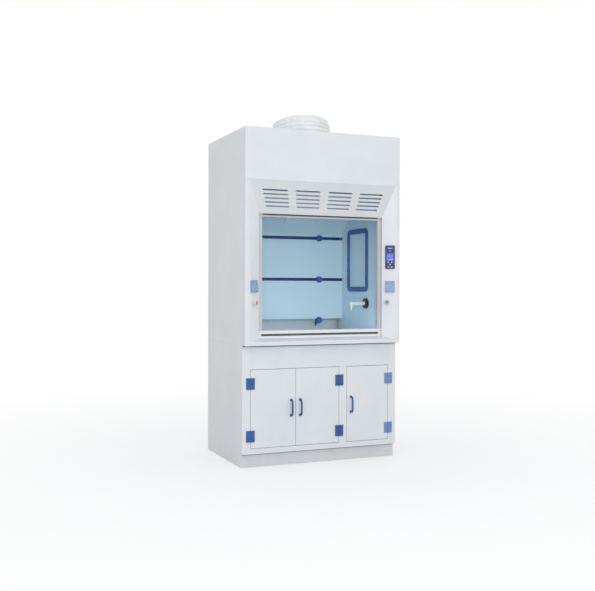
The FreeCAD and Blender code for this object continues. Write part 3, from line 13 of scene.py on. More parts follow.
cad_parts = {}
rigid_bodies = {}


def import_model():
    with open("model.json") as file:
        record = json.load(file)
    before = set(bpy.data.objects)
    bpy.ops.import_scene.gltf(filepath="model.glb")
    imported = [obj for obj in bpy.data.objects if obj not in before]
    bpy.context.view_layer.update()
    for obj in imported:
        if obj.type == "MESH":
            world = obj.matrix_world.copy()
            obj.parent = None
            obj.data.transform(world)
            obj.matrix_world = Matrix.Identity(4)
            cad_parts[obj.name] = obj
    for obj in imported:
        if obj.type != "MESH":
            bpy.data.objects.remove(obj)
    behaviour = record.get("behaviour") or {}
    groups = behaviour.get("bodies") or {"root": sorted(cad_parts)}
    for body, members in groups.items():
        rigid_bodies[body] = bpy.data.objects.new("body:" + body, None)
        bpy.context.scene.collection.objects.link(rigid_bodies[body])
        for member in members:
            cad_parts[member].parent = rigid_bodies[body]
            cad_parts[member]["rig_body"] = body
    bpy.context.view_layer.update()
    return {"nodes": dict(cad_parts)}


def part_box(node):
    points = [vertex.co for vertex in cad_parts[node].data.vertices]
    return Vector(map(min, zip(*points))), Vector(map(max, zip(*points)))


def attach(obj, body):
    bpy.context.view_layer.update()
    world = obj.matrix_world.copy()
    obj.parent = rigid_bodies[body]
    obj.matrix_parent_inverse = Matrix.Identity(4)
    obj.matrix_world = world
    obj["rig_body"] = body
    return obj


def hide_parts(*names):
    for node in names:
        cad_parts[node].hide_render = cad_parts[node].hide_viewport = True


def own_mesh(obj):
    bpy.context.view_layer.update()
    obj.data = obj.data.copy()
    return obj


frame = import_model()
CAD = frame["nodes"]

bl_info = {
    "name": "Ducted Fume Hood",
    "version": (1, 0, 0),
    "blender": (4, 5, 0),
    "location": "View3D > Sidebar > Fume Hood",
    "description": "Finishes and detail pieces for a polypropylene fume hood",
    "category": "Object",
}

X_WAY = Vector((1, 0, 0))
Y_WAY = Vector((0, 1, 0))
Z_WAY = Vector((0, 0, 1))


def tone(red, green, blue):
    """A colour given as 0 to 255 for a screen, as the linear values that shaders take."""
    return tuple(((part / 255 + 0.055) / 1.055) ** 2.4 for part in (red, green, blue))


def colour_setting(name, description, red, green, blue):
    return FloatVectorProperty(
        name=name, description=description, subtype="COLOR", min=0, max=1,
        default=tone(red, green, blue),
    )


def length_setting(name, description, metres):
    return FloatProperty(
        name=name, description=description, subtype="DISTANCE", unit="LENGTH", min=0,
        default=metres,
    )


class HoodSizes(PropertyGroup):
    """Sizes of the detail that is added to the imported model."""

    sheet_edge: length_setting("Sheet edge", "Width of the softened edge on cut sheet", 0.0014)
    moulded_edge: length_setting("Moulded edge", "Width of the rounded edge on mouldings", 0.0009)
    screw_radius: length_setting("Screw radius", "Radius of a hinge screw's head", 0.0038)
    bead_radius: length_setting("Weld bead", "Radius of the bead along a welded joint", 0.0024)
    duct_wall: length_setting("Duct wall", "Thickness of the duct's film", 0.0012)


class HoodColours(PropertyGroup):
    """Colours of the hood's finishes."""

    sheet: colour_setting("Sheet", "White polypropylene sheet", 224, 228, 231)
    sheet_shade: colour_setting("Sheet mottle", "Faint darker mottle in the sheet", 219, 223, 227)
    # The lining is white sheet. Its blue tint is painted light, standing in for the blue cast of the light in
    # the chamber.
    liner: colour_setting("Liner", "Chamber lining sheet", 208, 226, 236)
    blue: colour_setting("Blue plastic", "Handles, hinges, clamps and frames", 52, 92, 160)
    faded: colour_setting("Faded blue", "Hinges of the right door", 112, 144, 194)
    blue_shade: colour_setting("Blue shade", "Darker variation of the blue", 42, 78, 142)
    cover: colour_setting("Socket cover", "Pale blue socket covers", 140, 166, 204)
    panel: colour_setting("Panel", "Housing of the control panel", 16, 26, 108)
    display: colour_setting("Display", "Lit window of the display", 62, 96, 205)
    track: colour_setting("Track", "Sash tracks and rails", 198, 198, 200)
    glass: colour_setting("Glass", "Tint of the sash glass", 238, 250, 255)
    duct: colour_setting("Duct film", "Silvery white film of the duct", 236, 238, 240)
    amber: colour_setting("Gas disc", "Disc on the gas knob", 196, 122, 36)


SLIGHT = math.radians(1)
CREASE = math.radians(35)


# Small steps of modelling

def clear_selection():
    if bpy.context.object and bpy.context.object.mode != "OBJECT":
        bpy.ops.object.mode_set(mode="OBJECT")
    bpy.ops.object.select_all(action="DESELECT")


def pick(*chosen):
    """Select these objects alone, the first one active."""
    clear_selection()
    for item in chosen:
        item.select_set(True)
    bpy.context.view_layer.objects.active = chosen[0]


def finish_with(piece, kind, **values):
    """Put a modifier on a piece and apply it."""
    pick(piece)
    modifier = piece.modifiers.new(kind.title(), kind)
    for name, value in values.items():
        setattr(modifier, name, value)
    bpy.ops.object.modifier_apply(modifier=modifier.name)


def smooth(piece, angle=CREASE):
    pick(piece)
    bpy.ops.object.shade_smooth_by_angle(angle=angle)


def weigh_edges(piece, angle):
    """Mark for rounding each sharp edge that two faces share and no broken edge meets."""
    mesh = bmesh.new()
    mesh.from_mesh(piece.data)
    weight = mesh.edges.layers.float.new("bevel_weight_edge")
    for edge in mesh.edges:
        ends = [near for vert in edge.verts for near in vert.link_edges]
        if all(near.is_manifold for near in ends) and edge.calc_face_angle() > angle:
            edge[weight] = 1
    mesh.to_mesh(piece.data)
    mesh.free()


def soften(piece, width, segments=2, angle=CREASE):
    """Round a piece's edges and shade it so that its flats stay flat."""
    weigh_edges(piece, angle)
    finish_with(
        piece, "BEVEL", width=width, segments=segments, limit_method="WEIGHT",
        use_clamp_overlap=True, miter_outer="MITER_SHARP",
    )
    smooth(piece, angle)
    finish_with(piece, "WEIGHTED_NORMAL", keep_sharp=True)


def choose(piece, kind, test):
    """In edit mode, select the faces, edges or vertices that pass a test."""
    bpy.ops.mesh.select_mode(type=kind)
    bpy.ops.mesh.select_all(action="DESELECT")
    mesh = bmesh.from_edit_mesh(piece.data)
    parts = {"FACE": mesh.faces, "EDGE": mesh.edges, "VERT": mesh.verts}[kind]
    for part in parts:
        if test(part):
            part.select_set(True)
    mesh.select_flush_mode()
    bmesh.update_edit_mesh(piece.data)


def settle(piece, matrix):
    """Move a piece made at the origin to its place, which goes into its mesh."""
    piece.matrix_world = matrix
    pick(piece)
    bpy.ops.object.transform_apply(location=True, rotation=True, scale=True)


def facing(place, way, up=Z_WAY):
    """The matrix that stands a piece made along +Z at a place, along a direction."""
    out = Vector(way).normalized()
    side = Vector(up).cross(out)
    if side.length < 1e-6:
        side = X_WAY.copy()
    side.normalize()
    matrix = Matrix((side, out.cross(side), out)).transposed().to_4x4()
    matrix.translation = Vector(place)
    return matrix


def joined(name, *parts):
    pick(*parts)
    if len(parts) > 1:
        bpy.ops.object.join()
    whole = bpy.context.object
    whole.name = name
    whole.data.name = name
    return whole


def copied(piece, matrix):
    """Another piece of the same shape, with its own mesh, at its own place."""
    twin = bpy.data.objects.new(piece.name + "_twin", piece.data.copy())
    bpy.context.scene.collection.objects.link(twin)
    settle(twin, matrix)
    return twin


def removed(piece):
    bpy.data.objects.remove(piece)


def paint(piece, material):
    piece.data.materials.clear()
    piece.data.materials.append(material)


def paint_where(piece, material, test):
    """Give the faces that pass a test another material."""
    piece.data.materials.append(material)
    index = len(piece.data.materials) - 1
    for face in piece.data.polygons:
        if test(face.center, face.normal):
            face.material_index = index


def merged_copy(node, name):
    """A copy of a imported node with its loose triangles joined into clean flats."""
    piece = bpy.data.objects.new(name, CAD[node].data.copy())
    piece.data.name = name
    bpy.context.scene.collection.objects.link(piece)
    pick(piece)
    if piece.data.has_custom_normals:
        bpy.ops.mesh.customdata_custom_splitnormals_clear()
    bpy.ops.object.mode_set(mode="EDIT")
    bpy.ops.mesh.select_all(action="SELECT")
    bpy.ops.mesh.remove_doubles(threshold=1e-5)
    bpy.ops.mesh.select_mode(type="FACE")
    bpy.ops.mesh.select_all(action="DESELECT")
    bpy.ops.mesh.select_interior_faces()
    bpy.ops.mesh.delete(type="FACE")
    bpy.ops.mesh.select_all(action="SELECT")
    bpy.ops.mesh.dissolve_limited(angle_limit=SLIGHT)
    bpy.ops.object.mode_set(mode="OBJECT")
    return piece


def dressed(node, name, material, width, segments=2, cutters=()):
    """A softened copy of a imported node, shown in the node's place on its body."""
    piece = merged_copy(node, name)
    for cutter in cutters:
        cut_away(piece, cutter)
    soften(piece, width, segments)
    paint(piece, material)
    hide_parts(node)
    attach(piece, CAD[node]["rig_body"])
    return piece


def started(kind, **values):
    """A primitive to start a piece from, alone and active."""
    clear_selection()
    getattr(bpy.ops.mesh, "primitive_" + kind + "_add")(**values)
    return bpy.context.object


def cut_away(piece, cutter):
    """Take a cutter's shape out of a piece."""
    finish_with(piece, "BOOLEAN", object=cutter, operation="DIFFERENCE", solver="EXACT")
    removed(cutter)


def board(name, low, high, width):
    """A plain board between two corners, its edges softened."""
    piece = started("cube", size=1)
    low, high = Vector(low), Vector(high)
    settle(piece, Matrix.Translation((low + high) / 2) @ Matrix.Diagonal((*(high - low), 1)))
    piece.name = name
    soften(piece, width)
    return piece


def lathed(name, outline, steps=48):
    """Spin an outline of (radius, height) points about Z."""
    piece = started("plane", size=0.01)
    bpy.ops.object.mode_set(mode="EDIT")
    choose(piece, "VERT", lambda vert: vert.index > 0)
    bpy.ops.mesh.delete(type="VERT")
    bpy.ops.mesh.select_all(action="SELECT")
    here = Vector((-0.005, -0.005, 0))
    points = [Vector((radius, 0, height)) for radius, height in outline]
    bpy.ops.transform.translate(value=points[0] - here)
    for before, after in zip(points, points[1:]):
        bpy.ops.mesh.extrude_region_move(TRANSFORM_OT_translate={"value": after - before})
    bpy.ops.mesh.select_all(action="SELECT")
    bpy.ops.mesh.spin(steps=steps, angle=math.tau, center=(0, 0, 0), axis=(0, 0, 1))
    bpy.ops.mesh.select_all(action="SELECT")
    bpy.ops.mesh.remove_doubles(threshold=1e-7)
    bpy.ops.mesh.normals_make_consistent(inside=False)
    bpy.ops.object.mode_set(mode="OBJECT")
    piece.name = name
    return piece


def round_cutter(place, way, ring, count, radius, length):
    """Parallel rods in a ring, for cutting flutes, scallops or holes."""
    rods = []
    first = started("cylinder", vertices=24, radius=radius, depth=length)
    for index in range(count):
        turn = math.tau * index / count
        offset = Matrix.Translation((ring * math.cos(turn), ring * math.sin(turn), length / 2))
        rods.append(copied(first, facing(place, way) @ offset))
    removed(first)
    return joined("round_cutter", *rods)


def box_cutter(place, way, width, height, depth):
    """A block sunk below a place, for cutting a recess or a slot."""
    piece = started("cube", size=1)
    block = Matrix.Translation((0, 0, -depth / 2)) @ Matrix.Diagonal((width, height, 2 * depth, 1))
    settle(piece, facing(place, way) @ block)
    return piece


def screw_head(radius):
    """A low domed head with a cross recess."""
    head = lathed(
        "screw_head",
        [
            (0, 0), (radius, 0), (radius, radius * 0.16), (radius * 0.86, radius * 0.3),
            (radius * 0.5, radius * 0.4), (0, radius * 0.44),
        ],
        24,
    )
    for width, height in ((radius * 1.1, radius * 0.22), (radius * 0.22, radius * 1.1)):
        cut_away(head, box_cutter((0, 0, radius * 0.44), Z_WAY, width, height, radius * 0.26))
    smooth(head)
    return head


def screwed(name, places, way, radius):
    """Screw heads at several places on a face."""
    head = screw_head(radius)
    heads = [copied(head, facing(place, way)) for place in places]
    removed(head)
    return joined(name, *heads)


def rounded_plate(name, width, height, corner, thickness, segments=6):
    """A plate with rounded corners, its back on the XY plane."""
    piece = started("plane", size=1)
    settle(piece, Matrix.Diagonal((width, height, 1, 1)))
    bpy.ops.object.mode_set(mode="EDIT")
    bpy.ops.mesh.select_all(action="SELECT")
    bpy.ops.mesh.bevel(offset=corner, segments=segments, affect="VERTICES")
    bpy.ops.mesh.select_all(action="SELECT")
    bpy.ops.mesh.extrude_region_move(TRANSFORM_OT_translate={"value": (0, 0, thickness)})
    bpy.ops.mesh.select_all(action="SELECT")
    bpy.ops.mesh.normals_make_consistent(inside=False)
    bpy.ops.object.mode_set(mode="OBJECT")
    piece.name = name
    return piece


def recalculated(piece):
    """Point a closed piece's faces outwards."""
    pick(piece)
    bpy.ops.object.mode_set(mode="EDIT")
    bpy.ops.mesh.select_all(action="SELECT")
    bpy.ops.mesh.normals_make_consistent(inside=False)
    bpy.ops.object.mode_set(mode="OBJECT")


def digit_bars(digit, width, height, thick):
    """Centre and size of the bars that make up a digit."""
    half = height / 2
    level = {"top": half, "middle": 0.0, "bottom": -half}
    shown = {"0": ("top", "bottom", "TL", "TR", "BL", "BR"), "5": ("top", "middle", "bottom", "TL", "BR")}
    bars = []
    for part in shown[digit]:
        if part in level:
            bars.append((0.0, level[part], width - 2 * thick, thick))
        else:
            side = -width / 2 if part[1] == "L" else width / 2
            rise = half / 2 if part[0] == "T" else -half / 2
            bars.append((side, rise, thick, half - 1.4 * thick))
    return bars


def stood(piece, matrix, width=0.0):
    """Soften a piece made at the origin and move it to its place."""
    if width:
        soften(piece, width)
    settle(piece, matrix)
    return piece


def weld_bead(name, start, end, radius):
    """A rippled bead laid along a straight joint."""
    start, end = Vector(start), Vector(end)
    pitch = radius * 1.6
    piece = started("circle", vertices=10, radius=radius * 0.86, fill_type="NOTHING")
    bpy.ops.object.mode_set(mode="EDIT")
    for share, scale in ((0.35, 1 / 0.86), (0.65, 0.86)):
        bpy.ops.mesh.select_mode(type="EDGE")
        bpy.ops.mesh.extrude_region_move(
            TRANSFORM_OT_translate={"value": (0, 0, pitch * share)}
        )
        bpy.ops.transform.resize(value=(scale, scale, 1))
    bpy.ops.object.mode_set(mode="OBJECT")
    count = max(2, int((end - start).length / pitch))
    finish_with(
        piece, "ARRAY", count=count, use_relative_offset=False, use_constant_offset=True,
        constant_offset_displace=(0, 0, pitch), use_merge_vertices=True, merge_threshold=1e-5,
    )
    bpy.ops.object.mode_set(mode="EDIT")
    choose(piece, "EDGE", lambda edge: edge.is_boundary)
    bpy.ops.mesh.edge_face_add()
    bpy.ops.mesh.select_all(action="SELECT")
    bpy.ops.mesh.normals_make_consistent(inside=False)
    bpy.ops.object.mode_set(mode="OBJECT")
    upright = abs((end - start).normalized().z) > 0.9
    settle(piece, facing(start, end - start, X_WAY if upright else Z_WAY))
    smooth(piece, math.radians(80))
    piece.name = name
    return piece


# Places on the bevelled posts and the duct

STRIP_EDGE = 0.565
OPENING_EDGE = 0.482
FRONT_EDGE = -0.425
BEVEL_DEPTH = 0.051
BEVEL_LENGTH = math.hypot(STRIP_EDGE - OPENING_EDGE, BEVEL_DEPTH)


def bevel_out(side):
    return Vector((-side * BEVEL_DEPTH, OPENING_EDGE - STRIP_EDGE, 0)) / BEVEL_LENGTH


def on_bevel(side, along, z, proud=0.0):
    """The matrix that stands a piece on a bevel, its X to the viewer's right."""
    across = Vector((-side * (STRIP_EDGE - OPENING_EDGE), BEVEL_DEPTH, 0)) / BEVEL_LENGTH
    out = bevel_out(side)
    place = Vector((side * STRIP_EDGE, FRONT_EDGE, z)) + across * along + out * proud
    return facing(place, out)


GAS_ALONG = 0.039
WATER_ALONG = 0.058
SOCKET_ALONG = 0.039
SOCKET_HEIGHT = 1.258
SOCKET_DEPTH = 0.026
PANEL_ALONG = 0.038
PANEL_PROUD = 0.01
WINDOW_HEIGHT = 1.4755
RING_HEIGHT = 1.52
STRIP_HEIGHT = 1.5395
KEYS = {
    "fan_up": (-0.012, 1.437),
    "fan_down": (0.012, 1.437),
    "power": (0.0, 1.419),
    "lamp": (-0.012, 1.401),
    "socket": (0.012, 1.401),
}
KNOB_HEIGHT = 1.145
KNOB_END = 0.0305
PULLEY_HEIGHT = 2.24
CABLE_ASIDE = 0.524
CABLE_RADIUS = 0.0015
BAFFLE_FACE = 0.3
BAFFLE_HALF = 0.4845
BAFFLE_SLOTS = (1.314, 1.641)
SLOT_HALF = 0.01
CLAMP_ROWS = (0.991, *BAFFLE_SLOTS)
CLAMP_ASIDE = 0.278
LINER_BACK = 0.3575
WORKTOP_LEVEL = 0.8735
CEILING_LEVEL = 1.988
FLOOR_FRONT = -0.32
GLAND_PLACE = Vector((-0.42, 0.33))
GLAND_REACH = 0.0215
GROOVE_HEIGHT = 0.9185
GROOVE_HALF = 0.0075
GROOVE_REACH = 0.462
SINK_DRAIN = 0.7335
DOOR_HINGES = (("left", -0.54, 1), ("middle", 0.14, -1), ("right", 0.54, -1))
HINGE_HEIGHTS = (0.22, 0.584)
HINGE_THICKNESS = 0.004
SCREW_DROPS = (-0.0275, 0.0, 0.0275)
SCREW_ASIDE = 0.0205
COLLAR_RADIUS = 0.242
DUCT_FOOT = Vector((0.04, 0.11, 2.35))
DUCT_NECK = 0.2158
DUCT_CREST = 0.2228
DUCT_BEND = 0.34
DUCT_TURN = math.radians(12.5)
DUCT_HEADING = math.radians(6)
DUCT_HOOPS = 4
HOOP_STEPS = 8


def added(piece, material, body):
    """A new piece of detail, on its material and its body."""
    paint(piece, material)
    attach(piece, body)
    return piece


# Shader groups shared by the finishes

def new_group(name, inputs, outputs):
    tree = bpy.data.node_groups.new(name, "ShaderNodeTree")
    for label, kind, value in inputs:
        socket = tree.interface.new_socket(label, in_out="INPUT", socket_type=kind)
        socket.default_value = value
    for label, kind in outputs:
        tree.interface.new_socket(label, in_out="OUTPUT", socket_type=kind)
    return tree, tree.nodes.new("NodeGroupInput"), tree.nodes.new("NodeGroupOutput")


def maths(tree, operation, first, second=None, clamp=False):
    node = tree.nodes.new("ShaderNodeMath")
    node.operation = operation
    node.use_clamp = clamp
    for index, value in enumerate((first, second)):
        if value is None:
            continue
        if hasattr(value, "is_linked"):
            tree.links.new(value, node.inputs[index])
        else:
            node.inputs[index].default_value = value
    return node.outputs[0]


def noise(tree, place, scale, detail=3.0, rough=0.5):
    node = tree.nodes.new("ShaderNodeTexNoise")
    tree.links.new(place, node.inputs["Vector"])
    if hasattr(scale, "is_linked"):
        tree.links.new(scale, node.inputs["Scale"])
    else:
        node.inputs["Scale"].default_value = scale
    node.inputs["Detail"].default_value = detail
    node.inputs["Roughness"].default_value = rough
    return node.outputs["Fac"]


def stretched(tree, place, scale):
    node = tree.nodes.new("ShaderNodeMapping")
    tree.links.new(place, node.inputs["Vector"])
    node.inputs["Scale"].default_value = scale
    return node.outputs["Vector"]


def blended(tree, mask, first, second):
    node = tree.nodes.new("ShaderNodeMix")
    node.data_type = "RGBA"
    tree.links.new(mask, node.inputs["Factor"])
    for socket, value in ((node.inputs[6], first), (node.inputs[7], second)):
        if hasattr(value, "is_linked"):
            tree.links.new(value, socket)
        else:
            socket.default_value = (*value, 1)
    return node.outputs[2]


def ranged(tree, value, low, high, to_low=0.0, to_high=1.0):
    node = tree.nodes.new("ShaderNodeMapRange")
    tree.links.new(value, node.inputs["Value"])
    for label, amount in zip(("From Min", "From Max", "To Min", "To Max"), (low, high, to_low, to_high)):
        if hasattr(amount, "is_linked"):
            tree.links.new(amount, node.inputs[label])
        else:
            node.inputs[label].default_value = amount
    return node.outputs["Result"]


def object_place(tree):
    return tree.nodes.new("ShaderNodeTexCoord").outputs["Object"]


def moulded_group():
    """Mottled colour, uneven gloss and a fine skin for sheet and mouldings."""
    name = "moulded_skin"
    if name in bpy.data.node_groups:
        return bpy.data.node_groups[name]
    tree, source, sink = new_group(
        name,
        [
            ("Colour", "NodeSocketColor", (1, 1, 1, 1)),
            ("Mottle", "NodeSocketColor", (1, 1, 1, 1)),
            ("Patch size", "NodeSocketFloat", 4.0),
            ("Skin size", "NodeSocketFloat", 900.0),
            ("Roughness", "NodeSocketFloat", 0.4),
            ("Unevenness", "NodeSocketFloat", 0.1),
        ],
        [("Colour", "NodeSocketColor"), ("Roughness", "NodeSocketFloat"), ("Height", "NodeSocketFloat")],
    )
    place = object_place(tree)
    patches = noise(tree, place, source.outputs["Patch size"], 4.0, 0.55)
    mask = ranged(tree, patches, 0.35, 0.7)
    mixed = blended(tree, mask, source.outputs["Colour"], source.outputs["Mottle"])
    tree.links.new(mixed, sink.inputs["Colour"])
    uneven = maths(tree, "SUBTRACT", noise(tree, place, 37.0, 5.0, 0.6), 0.5)
    spread = maths(tree, "MULTIPLY", uneven, source.outputs["Unevenness"])
    rough = maths(tree, "ADD", spread, source.outputs["Roughness"], clamp=True)
    tree.links.new(rough, sink.inputs["Roughness"])
    skin = noise(tree, place, source.outputs["Skin size"], 2.0, 0.5)
    wave = noise(tree, place, 16.0, 2.0, 0.4)
    height = maths(tree, "ADD", maths(tree, "MULTIPLY", skin, 0.12), wave)
    tree.links.new(height, sink.inputs["Height"])
    return tree


def scuff_group():
    """Long faint rubs in two directions, as a mask."""
    name = "scuffs"
    if name in bpy.data.node_groups:
        return bpy.data.node_groups[name]
    tree, source, sink = new_group(
        name,
        [("Amount", "NodeSocketFloat", 0.5), ("Fineness", "NodeSocketFloat", 40.0)],
        [("Mask", "NodeSocketFloat")],
    )
    place = object_place(tree)
    lengthwise = noise(tree, stretched(tree, place, (1.0, 1.0, 0.05)), source.outputs["Fineness"], 6.0, 0.7)
    crosswise = noise(tree, stretched(tree, place, (0.06, 0.06, 1.3)), source.outputs["Fineness"], 6.0, 0.7)
    marks = maths(tree, "MAXIMUM", ranged(tree, lengthwise, 0.66, 0.72), ranged(tree, crosswise, 0.67, 0.73))
    patchy = ranged(tree, noise(tree, place, 3.0, 2.0, 0.5), 0.45, 0.65)
    marks = maths(tree, "MULTIPLY", marks, patchy)
    mask = maths(tree, "MULTIPLY", marks, source.outputs["Amount"], clamp=True)
    tree.links.new(mask, sink.inputs["Mask"])
    return tree


def settled_group():
    """Dust that lies on faces that look up, and thickens towards the floor."""
    name = "settled_dust"
    if name in bpy.data.node_groups:
        return bpy.data.node_groups[name]
    tree, source, sink = new_group(
        name,
        [
            ("Colour", "NodeSocketColor", (1, 1, 1, 1)),
            ("Dust", "NodeSocketColor", (0.5, 0.5, 0.5, 1)),
            ("On tops", "NodeSocketFloat", 0.3),
            ("Near floor", "NodeSocketFloat", 0.3),
        ],
        [("Colour", "NodeSocketColor"), ("Mask", "NodeSocketFloat")],
    )
    place = object_place(tree)
    normal = tree.nodes.new("ShaderNodeNewGeometry")
    split = tree.nodes.new("ShaderNodeSeparateXYZ")
    tree.links.new(normal.outputs["Normal"], split.inputs[0])
    upward = ranged(tree, split.outputs["Z"], 0.6, 1.0)
    height = tree.nodes.new("ShaderNodeSeparateXYZ")
    tree.links.new(place, height.inputs[0])
    low = ranged(tree, height.outputs["Z"], 0.16, 0.0)
    cloud = ranged(tree, noise(tree, place, 21.0, 6.0, 0.65), 0.35, 0.75)
    tops = maths(tree, "MULTIPLY", maths(tree, "MULTIPLY", upward, cloud), source.outputs["On tops"])
    floor = maths(tree, "MULTIPLY", maths(tree, "MULTIPLY", low, cloud), source.outputs["Near floor"])
    mask = maths(tree, "ADD", tops, floor, clamp=True)
    tree.links.new(mask, sink.inputs["Mask"])
    mixed = blended(tree, mask, source.outputs["Colour"], source.outputs["Dust"])
    tree.links.new(mixed, sink.inputs["Colour"])
    return tree


def brushed_group():
    """Fine parallel brushing for metal, with slightly uneven gloss."""
    name = "brushed_metal"
    if name in bpy.data.node_groups:
        return bpy.data.node_groups[name]
    tree, source, sink = new_group(
        name,
        [
            ("Colour", "NodeSocketColor", (0.6, 0.6, 0.6, 1)),
            ("Shade", "NodeSocketColor", (0.4, 0.4, 0.4, 1)),
            ("Roughness", "NodeSocketFloat", 0.35),
        ],
        [("Colour", "NodeSocketColor"), ("Roughness", "NodeSocketFloat"), ("Height", "NodeSocketFloat")],
    )
    place = object_place(tree)
    lines = noise(tree, stretched(tree, place, (1.0, 1.0, 0.02)), 700.0, 4.0, 0.6)
    stains = ranged(tree, noise(tree, place, 30.0, 5.0, 0.6), 0.4, 0.75)
    mixed = blended(tree, stains, source.outputs["Colour"], source.outputs["Shade"])
    tree.links.new(mixed, sink.inputs["Colour"])
    swing = maths(tree, "MULTIPLY", maths(tree, "SUBTRACT", lines, 0.5), 0.3)
    rough = maths(tree, "ADD", swing, source.outputs["Roughness"], clamp=True)
    tree.links.new(rough, sink.inputs["Roughness"])
    tree.links.new(lines, sink.inputs["Height"])
    return tree


# Finishes

def blank(name, colour, roughness=0.5, **plain):
    """A new material and its shader, with plain values on the shader's own sockets."""
    material = bpy.data.materials.new(name)
    material.use_nodes = True
    shader = material.node_tree.nodes["Principled BSDF"]
    shader.inputs["Base Color"].default_value = (*colour, 1)
    shader.inputs["Roughness"].default_value = roughness
    for label, value in plain.items():
        shader.inputs[label.replace("_", " ")].default_value = value
    return material, shader


def use_group(material, group, **values):
    node = material.node_tree.nodes.new("ShaderNodeGroup")
    node.node_tree = group
    for label, value in values.items():
        socket = node.inputs[label.replace("_", " ")]
        if hasattr(value, "is_linked"):
            material.node_tree.links.new(value, socket)
        elif socket.type == "RGBA":
            socket.default_value = (*value, 1)
        else:
            socket.default_value = value
    return node


def bumped(material, shader, height, distance, strength=1.0):
    bump = material.node_tree.nodes.new("ShaderNodeBump")
    bump.inputs["Distance"].default_value = distance
    bump.inputs["Strength"].default_value = strength
    material.node_tree.links.new(height, bump.inputs["Height"])
    material.node_tree.links.new(bump.outputs["Normal"], shader.inputs["Normal"])


def plastic(
    name, colour, mottle, roughness=0.4, unevenness=0.12, skin=900.0, patch=4.0, depth=0.0004,
    scuffs=0.25, rub=(0.75, 0.78, 0.8), tops=0.12, floor=0.25, **plain
):
    """Moulded or sheet plastic: mottle, skin, rubs and settled dust."""
    if name in bpy.data.materials:
        return bpy.data.materials[name]
    material, shader = blank(name, colour, roughness, **plain)
    tree = material.node_tree
    body = use_group(
        material, moulded_group(), Colour=colour, Mottle=mottle, Patch_size=patch,
        Skin_size=skin, Roughness=roughness, Unevenness=unevenness,
    )
    rubs = use_group(material, scuff_group(), Amount=scuffs)
    rubbed = blended(tree, rubs.outputs["Mask"], body.outputs["Colour"], rub)
    dust = use_group(
        material, settled_group(), Colour=rubbed, Dust=tone(188, 186, 180), On_tops=tops, Near_floor=floor
    )
    tree.links.new(dust.outputs["Colour"], shader.inputs["Base Color"])
    duller = maths(tree, "MULTIPLY", maths(tree, "ADD", dust.outputs["Mask"], rubs.outputs["Mask"]), 0.3)
    rough = maths(tree, "ADD", duller, body.outputs["Roughness"], clamp=True)
    tree.links.new(rough, shader.inputs["Roughness"])
    bumped(material, shader, body.outputs["Height"], depth)
    return material


def metal(name, colour, shade, roughness=0.35, depth=0.00004):
    if name in bpy.data.materials:
        return bpy.data.materials[name]
    material, shader = blank(name, colour, roughness, Metallic=1.0)
    tree = material.node_tree
    body = use_group(material, brushed_group(), Colour=colour, Shade=shade, Roughness=roughness)
    tree.links.new(body.outputs["Colour"], shader.inputs["Base Color"])
    tree.links.new(body.outputs["Roughness"], shader.inputs["Roughness"])
    bumped(material, shader, body.outputs["Height"], depth)
    return material


def settings():
    return bpy.context.scene.hood_sizes, bpy.context.scene.hood_colours


def darker(colour, share):
    return tuple(part * share for part in colour)


